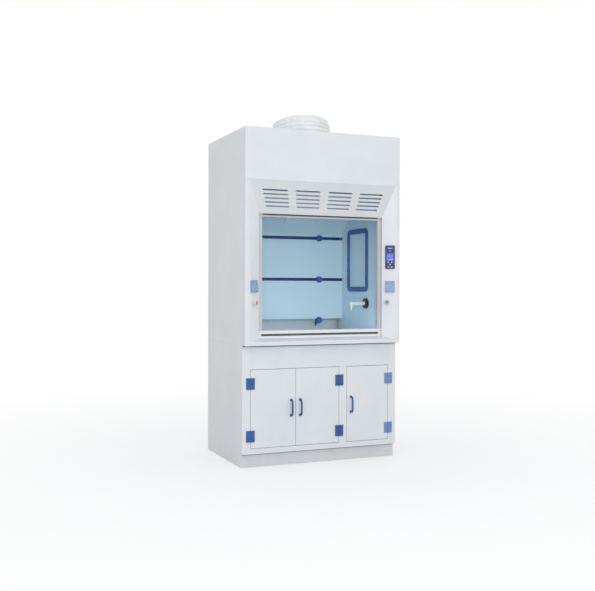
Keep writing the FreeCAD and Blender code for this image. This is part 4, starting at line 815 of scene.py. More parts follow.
# Each plastic: its colour, its mottle, its roughness, and what differs from plain sheet. A colour is
# a name in the panel's settings, that name with the share of it to take, or a screen tone.
PLASTICS = {
    "white_sheet": ("sheet", "sheet_shade", 0.42, {}),
    # Vent panel: the same sheet, painted darker as painted shade, since the panel tilts away from the light.
    "vent_sheet": (("sheet", 0.92), ("sheet_shade", 0.92), 0.44, {}),
    # Plinth: darker sheet as painted shade in its recess under the face frame, with real scuffs and dust on it.
    "kick_sheet": (
        ("sheet", 0.9), ("sheet_shade", 0.88), 0.46, {"depth": 0.0003, "scuffs": 0.35, "tops": 0.3},
    ),
    "liner_sheet": ("liner", ("liner", 0.95), 0.38, {"tops": 0.05, "floor": 0.0}),
    # Back liner: paler and bluer than the other liners, painted light on the chamber's back wall.
    "back_sheet": ((228, 246, 255), (218, 238, 250), 0.38, {"tops": 0.05, "floor": 0.0}),
    "worktop_sheet": ("liner", ("liner", 0.93), 0.5, {"scuffs": 0.45, "tops": 0.04, "floor": 0.0}),
    # Dark foam of the strips at the hood joint and the plinth: partly real foam, partly painted shadow lines.
    "foam": ((74, 78, 82), (62, 66, 70), 0.8, {"skin": 1500.0, "patch": 60.0, "depth": 0.0005}),
    # Dark brush under the vent panel: a real seal that also stands as painted shade for the shadow gap at the
    # head.
    "brush_bristle": (
        (88, 80, 76), (70, 64, 60), 0.8,
        {"skin": 2500.0, "patch": 90.0, "depth": 0.0008, "scuffs": 0.1, "tops": 0.3},
    ),
    # Grip groove: a dark insert colour that also stands as painted shade in the groove.
    "groove_shade": ((96, 92, 86), (74, 70, 66), 0.3, {"patch": 30.0, "scuffs": 0.3}),
    "blue_moulding": (
        "blue", "blue_shade", 0.34,
        {"patch": 14.0, "depth": 0.00025, "scuffs": 0.2, "rub": tone(120, 150, 200), "tops": 0.05},
    ),
    "dark_blue_moulding": (
        ("blue", 0.42), ("blue_shade", 0.4), 0.4,
        {"patch": 60.0, "depth": 0.0001, "scuffs": 0.1, "tops": 0.0},
    ),
    # Navy edging of the baffle slots: dark strips standing as painted shade for the shadow in the slots.
    "navy_edging": (
        ("blue", 0.5), ("blue_shade", 0.46), 0.4,
        {"patch": 60.0, "depth": 0.0001, "scuffs": 0.1, "tops": 0.0},
    ),
    # Blue strips behind the slots, so that the shadow seen through them reads navy: painted shade.
    "blue_screen": ((52, 104, 184), (46, 94, 172), 0.45, {"patch": 30.0, "tops": 0.0}),
    "faded_blue_moulding": (
        "faded", ("faded", 0.86), 0.45, {"patch": 60.0, "depth": 0.0001, "scuffs": 0.15, "tops": 0.0},
    ),
    "cover_moulding": (
        "cover", ("cover", 0.9), 0.3, {"patch": 20.0, "depth": 0.0002, "scuffs": 0.15, "tops": 0.04},
    ),
    "track_plastic": ("track", ("track", 0.92), 0.33, {"depth": 0.0002}),
    "panel_moulding": (
        "panel", ("panel", 0.8), 0.22,
        {"patch": 30.0, "depth": 0.0001, "scuffs": 0.1, "rub": tone(80, 90, 150), "tops": 0.03},
    ),
    "key_moulding": (
        (238, 240, 246), (226, 228, 236), 0.35, {"patch": 60.0, "depth": 0.0001, "scuffs": 0.1, "tops": 0.0},
    ),
    "amber_disc": (
        "amber", ("amber", 0.85), 0.3, {"patch": 60.0, "depth": 0.0001, "scuffs": 0.1, "tops": 0.0},
    ),
    "black_moulding": (
        (24, 26, 28), (16, 18, 20), 0.36,
        {"patch": 20.0, "depth": 0.0002, "scuffs": 0.2, "rub": tone(70, 72, 74), "tops": 0.05},
    ),
    "grey_moulding": (
        (96, 104, 100), (84, 92, 88), 0.36, {"patch": 20.0, "depth": 0.0002, "scuffs": 0.15},
    ),
    "pale_moulding": ((226, 226, 220), (214, 214, 208), 0.34, {"patch": 20.0, "depth": 0.0002}),
    "waste_plastic": ((150, 154, 156), (136, 140, 143), 0.4, {"patch": 10.0, "depth": 0.0003}),
    "nylon": ((205, 200, 186), (190, 186, 172), 0.45, {"patch": 20.0, "scuffs": 0.3}),
    "motor_paint": ((88, 96, 104), (74, 82, 90), 0.4, {"patch": 12.0, "scuffs": 0.3}),
}


def shade_of(source):
    """The linear colour that an entry of the table of plastics means."""
    name, share = (source, 1.0) if isinstance(source, str) else (source[0], source[-1])
    return darker(getattr(settings()[1], name), share) if isinstance(name, str) else tone(*source)


def finish(name):
    """A plastic from the table."""
    colour, mottle, roughness, others = PLASTICS[name]
    return plastic(name, shade_of(colour), shade_of(mottle), roughness, **others)


def brass():
    return metal("turned_brass", tone(196, 164, 98), tone(160, 124, 66), 0.32)


def steel():
    return metal("zinc_steel", tone(186, 188, 192), tone(150, 153, 158), 0.36)


def weight_iron():
    return metal("weight_iron", tone(104, 107, 112), tone(78, 80, 84), 0.52)


def cable_wire():
    """Stranded wire: slanting strands round each cable."""
    name = "cable_wire"
    if name in bpy.data.materials:
        return bpy.data.materials[name]
    material, shader = blank(name, tone(170, 172, 176), 0.38, Metallic=1.0)
    tree = material.node_tree
    wave = tree.nodes.new("ShaderNodeTexWave")
    wave.bands_direction = "DIAGONAL"
    wave.inputs["Scale"].default_value = 260.0
    tree.links.new(object_place(tree), wave.inputs["Vector"])
    mixed = blended(tree, wave.outputs["Fac"], tone(120, 122, 126), tone(200, 202, 206))
    tree.links.new(mixed, shader.inputs["Base Color"])
    bumped(material, shader, wave.outputs["Fac"], 0.0002)
    return material


def sash_pane():
    """Tinted glass that lets the lamps' light through to the chamber."""
    name = "sash_pane"
    if name in bpy.data.materials:
        return bpy.data.materials[name]
    tint = settings()[1].glass
    material, shader = blank(name, tint, 0.02, Transmission_Weight=1.0, IOR=1.12)
    tree = material.node_tree
    through = tree.nodes.new("ShaderNodeBsdfTransparent")
    through.inputs["Color"].default_value = (1, 1, 1, 1)
    path = tree.nodes.new("ShaderNodeLightPath")
    open_ray = maths(tree, "MAXIMUM", path.outputs["Is Shadow Ray"], path.outputs["Is Diffuse Ray"])
    mix = tree.nodes.new("ShaderNodeMixShader")
    tree.links.new(open_ray, mix.inputs["Fac"])
    tree.links.new(shader.outputs["BSDF"], mix.inputs[1])
    tree.links.new(through.outputs["BSDF"], mix.inputs[2])
    tree.links.new(mix.outputs["Shader"], tree.nodes["Material Output"].inputs["Surface"])
    smears = noise(tree, stretched(tree, object_place(tree), (3.0, 3.0, 1.0)), 4.0, 5.0)
    tree.links.new(ranged(tree, smears, 0.45, 0.8, 0.015, 0.07), shader.inputs["Roughness"])
    return material


def lamp_lens():
    """Ribbed opal diffuser, dimly lit."""
    name = "clear_lens"
    if name in bpy.data.materials:
        return bpy.data.materials[name]
    material, shader = blank(name, tone(200, 218, 228), 0.3, Emission_Strength=0.05)
    tree = material.node_tree
    ribs = tree.nodes.new("ShaderNodeTexWave")
    ribs.bands_direction = "X"
    ribs.inputs["Scale"].default_value = 60.0
    tree.links.new(object_place(tree), ribs.inputs["Vector"])
    lit = blended(tree, ribs.outputs["Fac"], tone(196, 206, 208), tone(238, 244, 244))
    tree.links.new(lit, shader.inputs["Emission Color"])
    bumped(material, shader, ribs.outputs["Fac"], 0.0006)
    return material


def duct_film():
    """Silvery white film, creased between its hoops, with painted shade darkening its creases."""
    name = "creased_film"
    if name in bpy.data.materials:
        return bpy.data.materials[name]
    colour = settings()[1].duct
    material, shader = blank(name, colour, 0.45, Metallic=0.04, Specular_IOR_Level=0.35)
    tree = material.node_tree
    place = object_place(tree)
    creases = noise(tree, stretched(tree, place, (1.0, 1.0, 2.2)), 26.0, 7.0, 0.68)
    # The creases are painted darker: painted shade in the film's folds.
    shade = blended(tree, ranged(tree, creases, 0.35, 0.7), colour, darker(colour, 0.8))
    tree.links.new(shade, shader.inputs["Base Color"])
    gloss = ranged(tree, noise(tree, place, 60.0, 4.0, 0.6), 0.3, 0.7, 0.34, 0.5)
    tree.links.new(gloss, shader.inputs["Roughness"])
    bumped(material, shader, creases, 0.006)
    return material


def lit_window():
    """The display's lit window, brighter towards its foot."""
    name = "lit_window"
    if name in bpy.data.materials:
        return bpy.data.materials[name]
    colour = settings()[1].display
    material, shader = blank(name, colour, 0.15, Emission_Strength=0.5, Coat_Weight=0.6)
    tree = material.node_tree
    place = object_place(tree)
    split = tree.nodes.new("ShaderNodeSeparateXYZ")
    tree.links.new(place, split.inputs[0])
    rise = ranged(tree, split.outputs["Z"], 1.452, 1.5)
    shade = blended(tree, rise, colour, darker(colour, 0.6))
    tree.links.new(shade, shader.inputs["Base Color"])
    tree.links.new(shade, shader.inputs["Emission Color"])
    return material


def display_pale():
    """Pale marks of a lit display."""
    name = "display_pale"
    if name in bpy.data.materials:
        return bpy.data.materials[name]
    material, shader = blank(name, tone(176, 190, 240), 0.3, Emission_Strength=0.35)
    tree = material.node_tree
    speck = ranged(tree, noise(tree, object_place(tree), 500.0), 0.3, 0.7)
    shade = blended(tree, speck, tone(166, 182, 238), tone(190, 202, 246))
    tree.links.new(shade, shader.inputs["Base Color"])
    tree.links.new(shade, shader.inputs["Emission Color"])
    return material


# Pieces, one operator for each group

class HOOD_OT_shell(Operator):
    """Dress the hood's outer sheets: sides, back, roof, fascia, posts, vent panel and sill"""

    bl_idname = "hood.shell"
    bl_label = "Hood shell"

    def execute(self, context):
        edge = settings()[0].sheet_edge
        sheet = finish("white_sheet")
        for node, name in (
            ("hood_sides", "side_sheets"),
            ("hood_fascia", "fascia_sheet"),
            ("front_posts", "post_sheets"),
            ("front_sill", "sill_sheet"),
        ):
            dressed(node, name, sheet, edge)
        # The vent panel is painted darker: painted shade on the tilted panel.
        dressed("vent_panel", "slotted_sheet", finish("vent_sheet"), edge)
        self.head_brush()
        roof = dressed("hood_top", "roof_sheet", sheet, edge)

        def on_gland(centre, normal):
            return (centre.xy - GLAND_PLACE).length < GLAND_REACH

        paint_where(roof, finish("black_moulding"), on_gland)
        self.back_panel(sheet, edge)
        return {"FINISHED"}

    def head_brush(self):
        """A dark brush strip under the vent panel that closes the gap to the sash, and also stands as painted
        shade for the shadow line at the head of the opening.
        """
        low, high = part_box("vent_panel")
        sash_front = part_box("sash_frame")[0].y
        strip = board(
            "head_brush", (low.x + 0.118, sash_front - 0.0062, low.z - 0.009),
            (high.x - 0.118, sash_front - 0.0012, low.z + 0.006), 0.0006,
        )
        added(strip, finish("brush_bristle"), "hood")

    def back_panel(self, sheet, edge):
        """The back sheet, with its screws sunk level with it all round."""
        low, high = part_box("hood_back")
        margin = 0.03
        radius = settings()[0].screw_radius * 1.1
        places = []
        for x in (low.x + margin, 0.0, high.x - margin):
            for share in (0.02, 0.26, 0.5, 0.74, 0.98):
                if x or share in (0.02, 0.98):
                    places.append(Vector((x, high.y, low.z + (high.z - low.z) * share)))
        depth = radius * 0.5
        seats = [place - Y_WAY * depth for place in places]
        pockets = [round_cutter(seat, Y_WAY, 0, 1, radius * 1.1, 0.01) for seat in seats]
        dressed("hood_back", "back_sheet", sheet, edge, cutters=pockets)
        heads = screwed("back_screws", seats, Y_WAY, radius)
        added(heads, finish("pale_moulding"), "hood")


class HOOD_OT_base(Operator):
    """Dress the base cabinet, its worktop, cup sink and drain trap"""

    bl_idname = "hood.base"
    bl_label = "Base cabinet"

    def execute(self, context):
        edge = settings()[0].sheet_edge
        sheet = finish("white_sheet")
        for node, name in (
            ("base_sides", "cabinet_sides"),
            ("base_back", "cabinet_back"),
            ("base_floor", "cabinet_floor"),
            ("base_divider", "cabinet_divider"),
        ):
            dressed(node, name, sheet, edge)
        # The plinth is painted darker: painted shade in its recess.
        dressed("base_plinth", "cabinet_plinth", finish("kick_sheet"), edge)
        self.face_boards(sheet, edge)
        self.shadow_seals()
        dressed("worktop", "worktop_slab", finish("worktop_sheet"), edge)
        dressed("cup_sink", "sink_bowl", finish("worktop_sheet"), edge)
        dressed("drain_trap", "bottle_trap", finish("waste_plastic"), edge)
        self.strainer()
        return {"FINISHED"}

    def face_boards(self, sheet, edge):
        """Two full stiles, the rails between them and the post beside the right door."""
        low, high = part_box("base_face_frame")
        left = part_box("door_left")
        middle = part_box("door_middle")
        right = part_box("door_right")
        gap = 0.0025
        x0, x1 = left[0].x - gap, right[1].x + gap
        z0, z1 = left[0].z - gap, left[1].z + gap
        spans = (
            (low.x, x0, low.z, high.z), (x1, high.x, low.z, high.z),
            (x0, x1, low.z, z0), (x0, x1, z1, high.z),
            (middle[1].x + gap, right[0].x - gap, z0, z1),
        )
        boards = [
            board("face_board", (a, low.y, c), (b, high.y, d), edge / 2) for a, b, c, d in spans
        ]
        piece = added(joined("cabinet_face", *boards), sheet, "hood")
        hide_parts("base_face_frame")

    def shadow_seals(self):
        """Dark foam strips, under the hood over the cabinet's face and where the face meets the plinth: partly
        real seals, partly painted shadow lines at those joints.
        """
        for name, node, inset, proud, drop, rise, radius in (
            ("joint_seal", "base_face_frame", 0.004, 0.003, 0.009, 0.0005, 0.001),
            ("plinth_seal", "base_plinth", 0.002, 0.0015, 0.0085, 0.001, 0.0006),
        ):
            low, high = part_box(node)
            strip = board(
                name, (low.x + inset, low.y - proud, high.z - drop),
                (high.x - inset, low.y + 0.001, high.z - rise), radius,
            )
            added(strip, finish("foam"), "hood")

    def strainer(self):
        """A drilled disc over the drain."""
        low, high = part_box("cup_sink")
        centre = Vector(((low.x + high.x) / 2, (low.y + high.y) / 2, SINK_DRAIN))
        disc = lathed(
            "sink_strainer",
            [(0, 0), (0.0235, 0), (0.0235, 0.0008), (0.021, 0.0022), (0.008, 0.0014), (0, 0.0014)],
        )
        settle(disc, Matrix.Translation(centre))
        for ring, count in ((0.0, 1), (0.0068, 6), (0.0135, 10)):
            cut_away(disc, round_cutter(centre - Z_WAY * 0.001, Z_WAY, ring, count, 0.0019, 0.006))
        soften(disc, 0.0003)
        added(disc, finish("grey_moulding"), "hood")


class HOOD_OT_doors(Operator):
    """Dress the doors, their pull handles and hinges, and drive the hinge screws"""

    bl_idname = "hood.doors"
    bl_label = "Doors"

    def execute(self, context):
        sizes = settings()[0]
        sheet = finish("white_sheet")
        blue = finish("blue_moulding")
        faded = finish("faded_blue_moulding")
        for side, leaf in (("left", blue), ("middle", blue), ("right", faded)):
            dressed("door_" + side, side + "_door_pan", sheet, sizes.sheet_edge)
            dressed("handle_" + side, side + "_pull", blue, sizes.moulded_edge)
            dressed(
                "hinge_leaves_" + side, side + "_hinge_leaves", leaf, sizes.moulded_edge
            )
        leaves = dressed("hinge_frame_leaves", "frame_leaves", blue, sizes.moulded_edge)

        def beside_right_door(centre, normal):
            return centre.x > 0.5

        paint_where(leaves, faded, beside_right_door)
        self.hinge_screws()
        return {"FINISHED"}

    def hinge_screws(self):
        """Six screws in each hinge, three in each leaf."""
        radius = settings()[0].screw_radius
        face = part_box("base_face_frame")[0].y - HINGE_THICKNESS
        fixed = []
        for side, edge, way in DOOR_HINGES:
            swung = []
            for z in (height + drop for height in HINGE_HEIGHTS for drop in SCREW_DROPS):
                swung.append(Vector((edge + way * SCREW_ASIDE, face, z)))
                fixed.append(Vector((edge - way * SCREW_ASIDE, face, z)))
            heads = screwed(side + "_leaf_screws", swung, -Y_WAY, radius)
            added(heads, finish("dark_blue_moulding"), "door_" + side)
        heads = screwed("frame_leaf_screws", fixed, -Y_WAY, radius)
        added(heads, finish("dark_blue_moulding"), "hood")


class HOOD_OT_chamber(Operator):
    """Dress the work chamber: liners, ceiling, baffle, clamps, access frames and lamp"""

    bl_idname = "hood.chamber"
    bl_label = "Work chamber"

    def execute(self, context):
        sizes = settings()[0]
        liner = finish("liner_sheet")
        for node, name in (
            ("chamber_liners", "liner_sheets"),
            ("chamber_ceiling", "ceiling_sheet"),
            ("baffle_panels", "baffle_sheets"),
            ("access_covers", "access_sheets"),
        ):
            dressed(node, name, liner, sizes.sheet_edge)
        sheets = bpy.data.objects["liner_sheets"]

        # The back wall is painted paler and bluer: painted light on the chamber's back.
        def on_back(centre, normal):
            return centre.y > 0.34 and normal.y < -0.9

        paint_where(sheets, finish("back_sheet"), on_back)
        blue = finish("blue_moulding")
        scallops = [
            round_cutter((x, BAFFLE_FACE - 0.005, z), -Y_WAY, 0.0292, 5, 0.0078, 0.03)
            for x in (-CLAMP_ASIDE, CLAMP_ASIDE) for z in CLAMP_ROWS
        ]
        dressed(
            "baffle_clamps", "clamp_knobs", blue, sizes.moulded_edge, cutters=scallops
        )
        dressed("access_frames", "window_frames", blue, sizes.moulded_edge * 2)
        self.slot_edgings()
        self.frame_screws()
        self.beads(sizes.bead_radius, liner)
        lamp = dressed("lamp", "chamber_lamp", liner, sizes.moulded_edge)
        slope = Vector((0, -1, -1)).normalized()

        def on_lens(centre, normal):
            return normal.dot(slope) > 0.95

        paint_where(lamp, lamp_lens(), on_lens)
        return {"FINISHED"}

    def slot_edgings(self):
        """Navy channel on both lips and ends of each baffle slot, and blue strips behind the slots: painted
        shade that makes the slots read as dark navy shadow lines.
        """
        front, back = BAFFLE_FACE - 0.0012, BAFFLE_FACE + 0.0072
        strips = []
        screens = []
        for slot in BAFFLE_SLOTS:
            low, high = slot - 0.024, slot + 0.024
            screens.append(
                board("screen", (-BAFFLE_HALF, 0.3535, low), (BAFFLE_HALF, LINER_BACK, high), 0.0006)
            )
            for side in (-1, 1):
                lip = slot + side * SLOT_HALF
                ends = sorted((lip + side * 0.0018, lip - side * 0.0012))
                strips.append(
                    board("strip", (-BAFFLE_HALF, front, ends[0]), (BAFFLE_HALF, back, ends[1]), 0.0004)
                )
                ends = sorted((side * BAFFLE_HALF, side * 0.461))
                reach = SLOT_HALF + 0.001
                strips.append(
                    board("cap", (ends[0], front, slot - reach), (ends[1], 0.3003, slot + reach), 0.0004)
                )
        added(joined("slot_edgings", *strips), finish("navy_edging"), "hood")
        added(joined("slot_screens", *screens), finish("blue_screen"), "hood")

    def frame_screws(self):
        """Screws along the upright bars of each access frame."""
        low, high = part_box("access_frames")
        radius = settings()[0].screw_radius * 0.85
        inset = 0.0135
        for side, way, x in (("left", X_WAY, -0.477), ("right", -X_WAY, 0.477)):
            places = []
            for share in (0.14, 0.38, 0.62, 0.86):
                z = low.z + (high.z - low.z) * share
                places += [Vector((x, low.y + inset, z)), Vector((x, high.y - inset, z))]
            heads = screwed(side + "_frame_screws", places, way, radius)
            added(heads, finish("dark_blue_moulding"), "hood")

    def beads(self, radius, material):
        """Welded inner corners of the chamber."""
        x, y, z = BAFFLE_HALF, LINER_BACK, WORKTOP_LEVEL
        ends = [((side * x, y, z), (side * x, y, CEILING_LEVEL)) for side in (-1, 1)]
        runs = [weld_bead("corner_bead", start, end, radius) for start, end in ends]
        for side in (-1, 1):
            runs.append(weld_bead("floor_bead", (side * x, FLOOR_FRONT, z), (side * x, y, z), radius))
        runs.append(weld_bead("floor_bead", (-x, y, z), (x, y, z), radius))
        added(joined("weld_beads", *runs), material, "hood")


class HOOD_OT_sash(Operator):
    """Dress the sash and its tracks, cables, pulleys and weights"""

    bl_idname = "hood.sash"
    bl_label = "Sash"

    def execute(self, context):
        sizes = settings()[0]
        track = finish("track_plastic")
        dressed("sash_frame", "sash_stiles", track, sizes.moulded_edge)
        rail = dressed("sash_lift_rail", "sash_rail", finish("white_sheet"), sizes.moulded_edge)

        def in_groove(centre, normal):
            near = abs(centre.z - GROOVE_HEIGHT) < GROOVE_HALF and abs(centre.x) < GROOVE_REACH
            return near and -0.3585 < centre.y < -0.34

        # The groove's faces are painted dark: partly an insert's colour, partly painted shade in the grip
        # groove.
        paint_where(rail, finish("groove_shade"), in_groove)
        dressed("sash_tracks", "track_channels", track, sizes.moulded_edge)
        dressed("counterweights", "sash_weights", weight_iron(), sizes.moulded_edge)
        dressed("pulley_brackets", "pulley_mounts", steel(), sizes.moulded_edge)
        dressed("cable_pulleys", "sash_pulleys", finish("nylon"), sizes.moulded_edge / 2)
        self.cables()
        paint(CAD["sash_glass"], sash_pane())
        return {"FINISHED"}

    def cables(self):
        """Each cable's front run and its turn over the pulley."""
        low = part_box("sash_cables")[0]
        front = (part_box("sash_frame")[0].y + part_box("sash_frame")[1].y) / 2
        turns = merged_copy("sash_cables", "cable_turns")
        reach = Vector((0.6, 0.01, 0))
        middle = Vector((0, front, 0))
        foot, head = Vector((0, 0, low.z - 0.01)), Vector((0, 0, PULLEY_HEIGHT))
        cut_away(turns, board("front_cutter", middle - reach + foot, middle + reach + head, 0.0001))
        added(turns, cable_wire(), "hood")
        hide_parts("sash_cables")
        length = PULLEY_HEIGHT - low.z
        rod = started("cylinder", vertices=16, radius=CABLE_RADIUS, depth=length)
        runs = []
        for side in (-1, 1):
            runs.append(copied(rod, Matrix.Translation((side * CABLE_ASIDE, front, low.z + length / 2))))
        removed(rod)
        runs = added(joined("cable_front_runs", *runs), cable_wire(), "hood")
        smooth(runs, math.radians(40))
        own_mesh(runs)


class HOOD_OT_exhaust(Operator):
    """Dress the roof collar, the fan and its casing, and the corrugated duct"""

    bl_idname = "hood.exhaust"
    bl_label = "Exhaust"

    def execute(self, context):
        sizes = settings()[0]
        dressed("exhaust_collar", "roof_collar", finish("white_sheet"), sizes.moulded_edge)
        dressed("fan_casing", "fan_housing", finish("white_sheet"), sizes.moulded_edge)
        dressed("fan_motor", "fan_drive", finish("motor_paint"), sizes.moulded_edge)
        dressed(
            "fan_impeller", "fan_wheel", finish("black_moulding"), sizes.moulded_edge / 2,
        )
        self.bellows(sizes)
        self.collar_bead(sizes.bead_radius)
        return {"FINISHED"}

    def bellows(self, sizes):
        """Film hoops drawn out ring by ring along the duct's bend, then given their thickness."""
        piece = started(
            "circle", vertices=144, radius=DUCT_NECK, fill_type="NOTHING", location=(0, 0, 0.007)
        )
        bpy.ops.object.transform_apply(location=True, rotation=True, scale=True)
        bpy.ops.object.mode_set(mode="EDIT")
        bpy.ops.mesh.select_mode(type="EDGE")
        radius = DUCT_NECK
        for rise in (0.004, 0.024, 0.004):
            bpy.ops.mesh.extrude_region_move(TRANSFORM_OT_translate={"value": (0, 0, rise)})
        hinge = Vector((0, DUCT_BEND, 0.039))
        steps = DUCT_HOOPS * HOOP_STEPS
        for index in range(1, steps + 1):
            share = (index % HOOP_STEPS) / HOOP_STEPS
            wanted = DUCT_NECK + (DUCT_CREST - DUCT_NECK) * math.sin(math.pi * share) ** 0.6
            turn = DUCT_TURN / steps
            bpy.ops.mesh.extrude_region_move()
            bpy.ops.transform.rotate(value=turn, orient_axis="X", center_override=hinge)
            angle = DUCT_TURN * index / steps
            centre = hinge + Vector((0, -math.cos(angle), math.sin(angle))) * DUCT_BEND
            scale = wanted / radius
            bpy.ops.transform.resize(value=(scale, scale, scale), center_override=centre)
            radius = wanted
        way = Vector((0, math.sin(DUCT_TURN), math.cos(DUCT_TURN)))
        for rise in (0.004, 0.016, 0.004):
            bpy.ops.mesh.extrude_region_move(TRANSFORM_OT_translate={"value": way * rise})
        bpy.ops.object.mode_set(mode="OBJECT")
        crumple = bpy.data.textures.new("film_crumple", "CLOUDS")
        crumple.noise_scale = 0.055
        finish_with(piece, "DISPLACE", texture=crumple, strength=0.0026, mid_level=0.62)
        finish_with(piece, "SOLIDIFY", thickness=sizes.duct_wall, offset=-1)
        smooth(piece, math.radians(60))
        settle(piece, Matrix.Translation(DUCT_FOOT) @ Matrix.Rotation(-DUCT_HEADING, 4, "Z"))
        piece.name = "duct_bellows"
        added(piece, duct_film(), "hood")
        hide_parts("exhaust_duct")

    def collar_bead(self, radius):
        """The welded joint round the collar's flange."""
        section = [
            (COLLAR_RADIUS + radius * math.cos(math.tau * index / 10), radius * math.sin(math.tau * index / 10))
            for index in range(11)
        ]
        bead = lathed("collar_bead", section, 120)
        settle(bead, Matrix.Translation(DUCT_FOOT + Vector((0, 0, 0.0005))))
        smooth(bead, math.radians(80))
        added(bead, finish("white_sheet"), "hood")


class HOOD_OT_services(Operator):
    """Dress the socket boxes and covers, knobs, valves and outlets"""

    bl_idname = "hood.services"
    bl_label = "Services"

    def execute(self, context):
        sizes = settings()[0]
        edge = sizes.moulded_edge
        cover = finish("cover_moulding")
        dressed("socket_boxes", "socket_wells", cover, edge)
        dressed("socket_cover_left", "left_flip_cover", cover, edge)
        dressed("socket_cover_right", "right_flip_cover", cover, edge)
        self.handwheel("gas", -1, GAS_ALONG, finish("amber_disc"), "knob_amber")
        self.handwheel("water", 1, WATER_ALONG, finish("grey_moulding"), "knob_dark")
        self.socket_face("left", -1)
        self.socket_face("right", 1)
        dressed("service_valves", "valves_and_pipes", brass(), edge)
        outlets = dressed("service_outlets", "bench_outlets", finish("pale_moulding"), edge)

        def on_flange(centre, normal):
            return centre.x > 0.4645

        paint_where(outlets, finish("black_moulding"), on_flange)
        return {"FINISHED"}

    def handwheel(self, service, side, along, disc_material, slot):
        """A fluted knob with a coloured disc and a pointer let into its end."""
        edge = settings()[0].moulded_edge
        out = bevel_out(side)
        root = on_bevel(side, along, KNOB_HEIGHT).translation
        end = root + out * KNOB_END
        cutters = [
            round_cutter(root + out * 0.0095, out, 0.0209, 9, 0.0036, 0.03),
            round_cutter(end - out * 0.0012, out, 0, 1, 0.0132, 0.01),
        ]
        dressed(
            service + "_knob", service + "_handwheel", finish("pale_moulding"), edge, cutters=cutters,
        )
        disc = lathed("disc", [(0, 0), (0.0129, 0), (0.0129, 0.0007), (0.0122, 0.001), (0, 0.001)], 48)
        smooth(disc)
        settle(disc, on_bevel(side, along, KNOB_HEIGHT, KNOB_END - 0.0012))
        disc.name = service + "_knob_disc"
        added(disc, disc_material, service + "_knob")
        face = on_bevel(side, along, KNOB_HEIGHT, KNOB_END - 0.0003)
        pointer = rounded_plate("pointer", 0.0016, 0.005, 0.0007, 0.0003)
        parts = [
            stood(pointer, face @ Matrix.Translation((0, 0.0088, 0))),
            stood(rounded_plate("dot", 0.0076, 0.0076, 0.00375, 0.0004), face),
        ]
        added(joined(service + "_knob_marks", *parts), finish("key_moulding"), service + "_knob")

    def socket_face(self, name, side):
        """A socket outlet seated in its box under the flip cover."""
        ground = on_bevel(side, SOCKET_ALONG, SOCKET_HEIGHT, -SOCKET_DEPTH)
        thickness = 0.006
        plate = stood(rounded_plate("plate", 0.0385, 0.0485, 0.005, thickness), ground, 0.0006)
        out = bevel_out(side)
        top = on_bevel(side, SOCKET_ALONG, SOCKET_HEIGHT, thickness - SOCKET_DEPTH)
        cut_away(plate, round_cutter(top @ Vector((0, 0, -0.0022)), out, 0, 1, 0.0168, 0.006))
        for x, y, height in ((-0.0062, 0.004, 0.008), (0.0062, 0.004, 0.008), (0, -0.0068, 0.007)):
            cut_away(plate, box_cutter(top @ Vector((x, y, -0.0022)), out, 0.002, height, 0.003))
        plate.name = name + "_socket_face"
        smooth(plate)
        added(plate, finish("pale_moulding"), "hood")


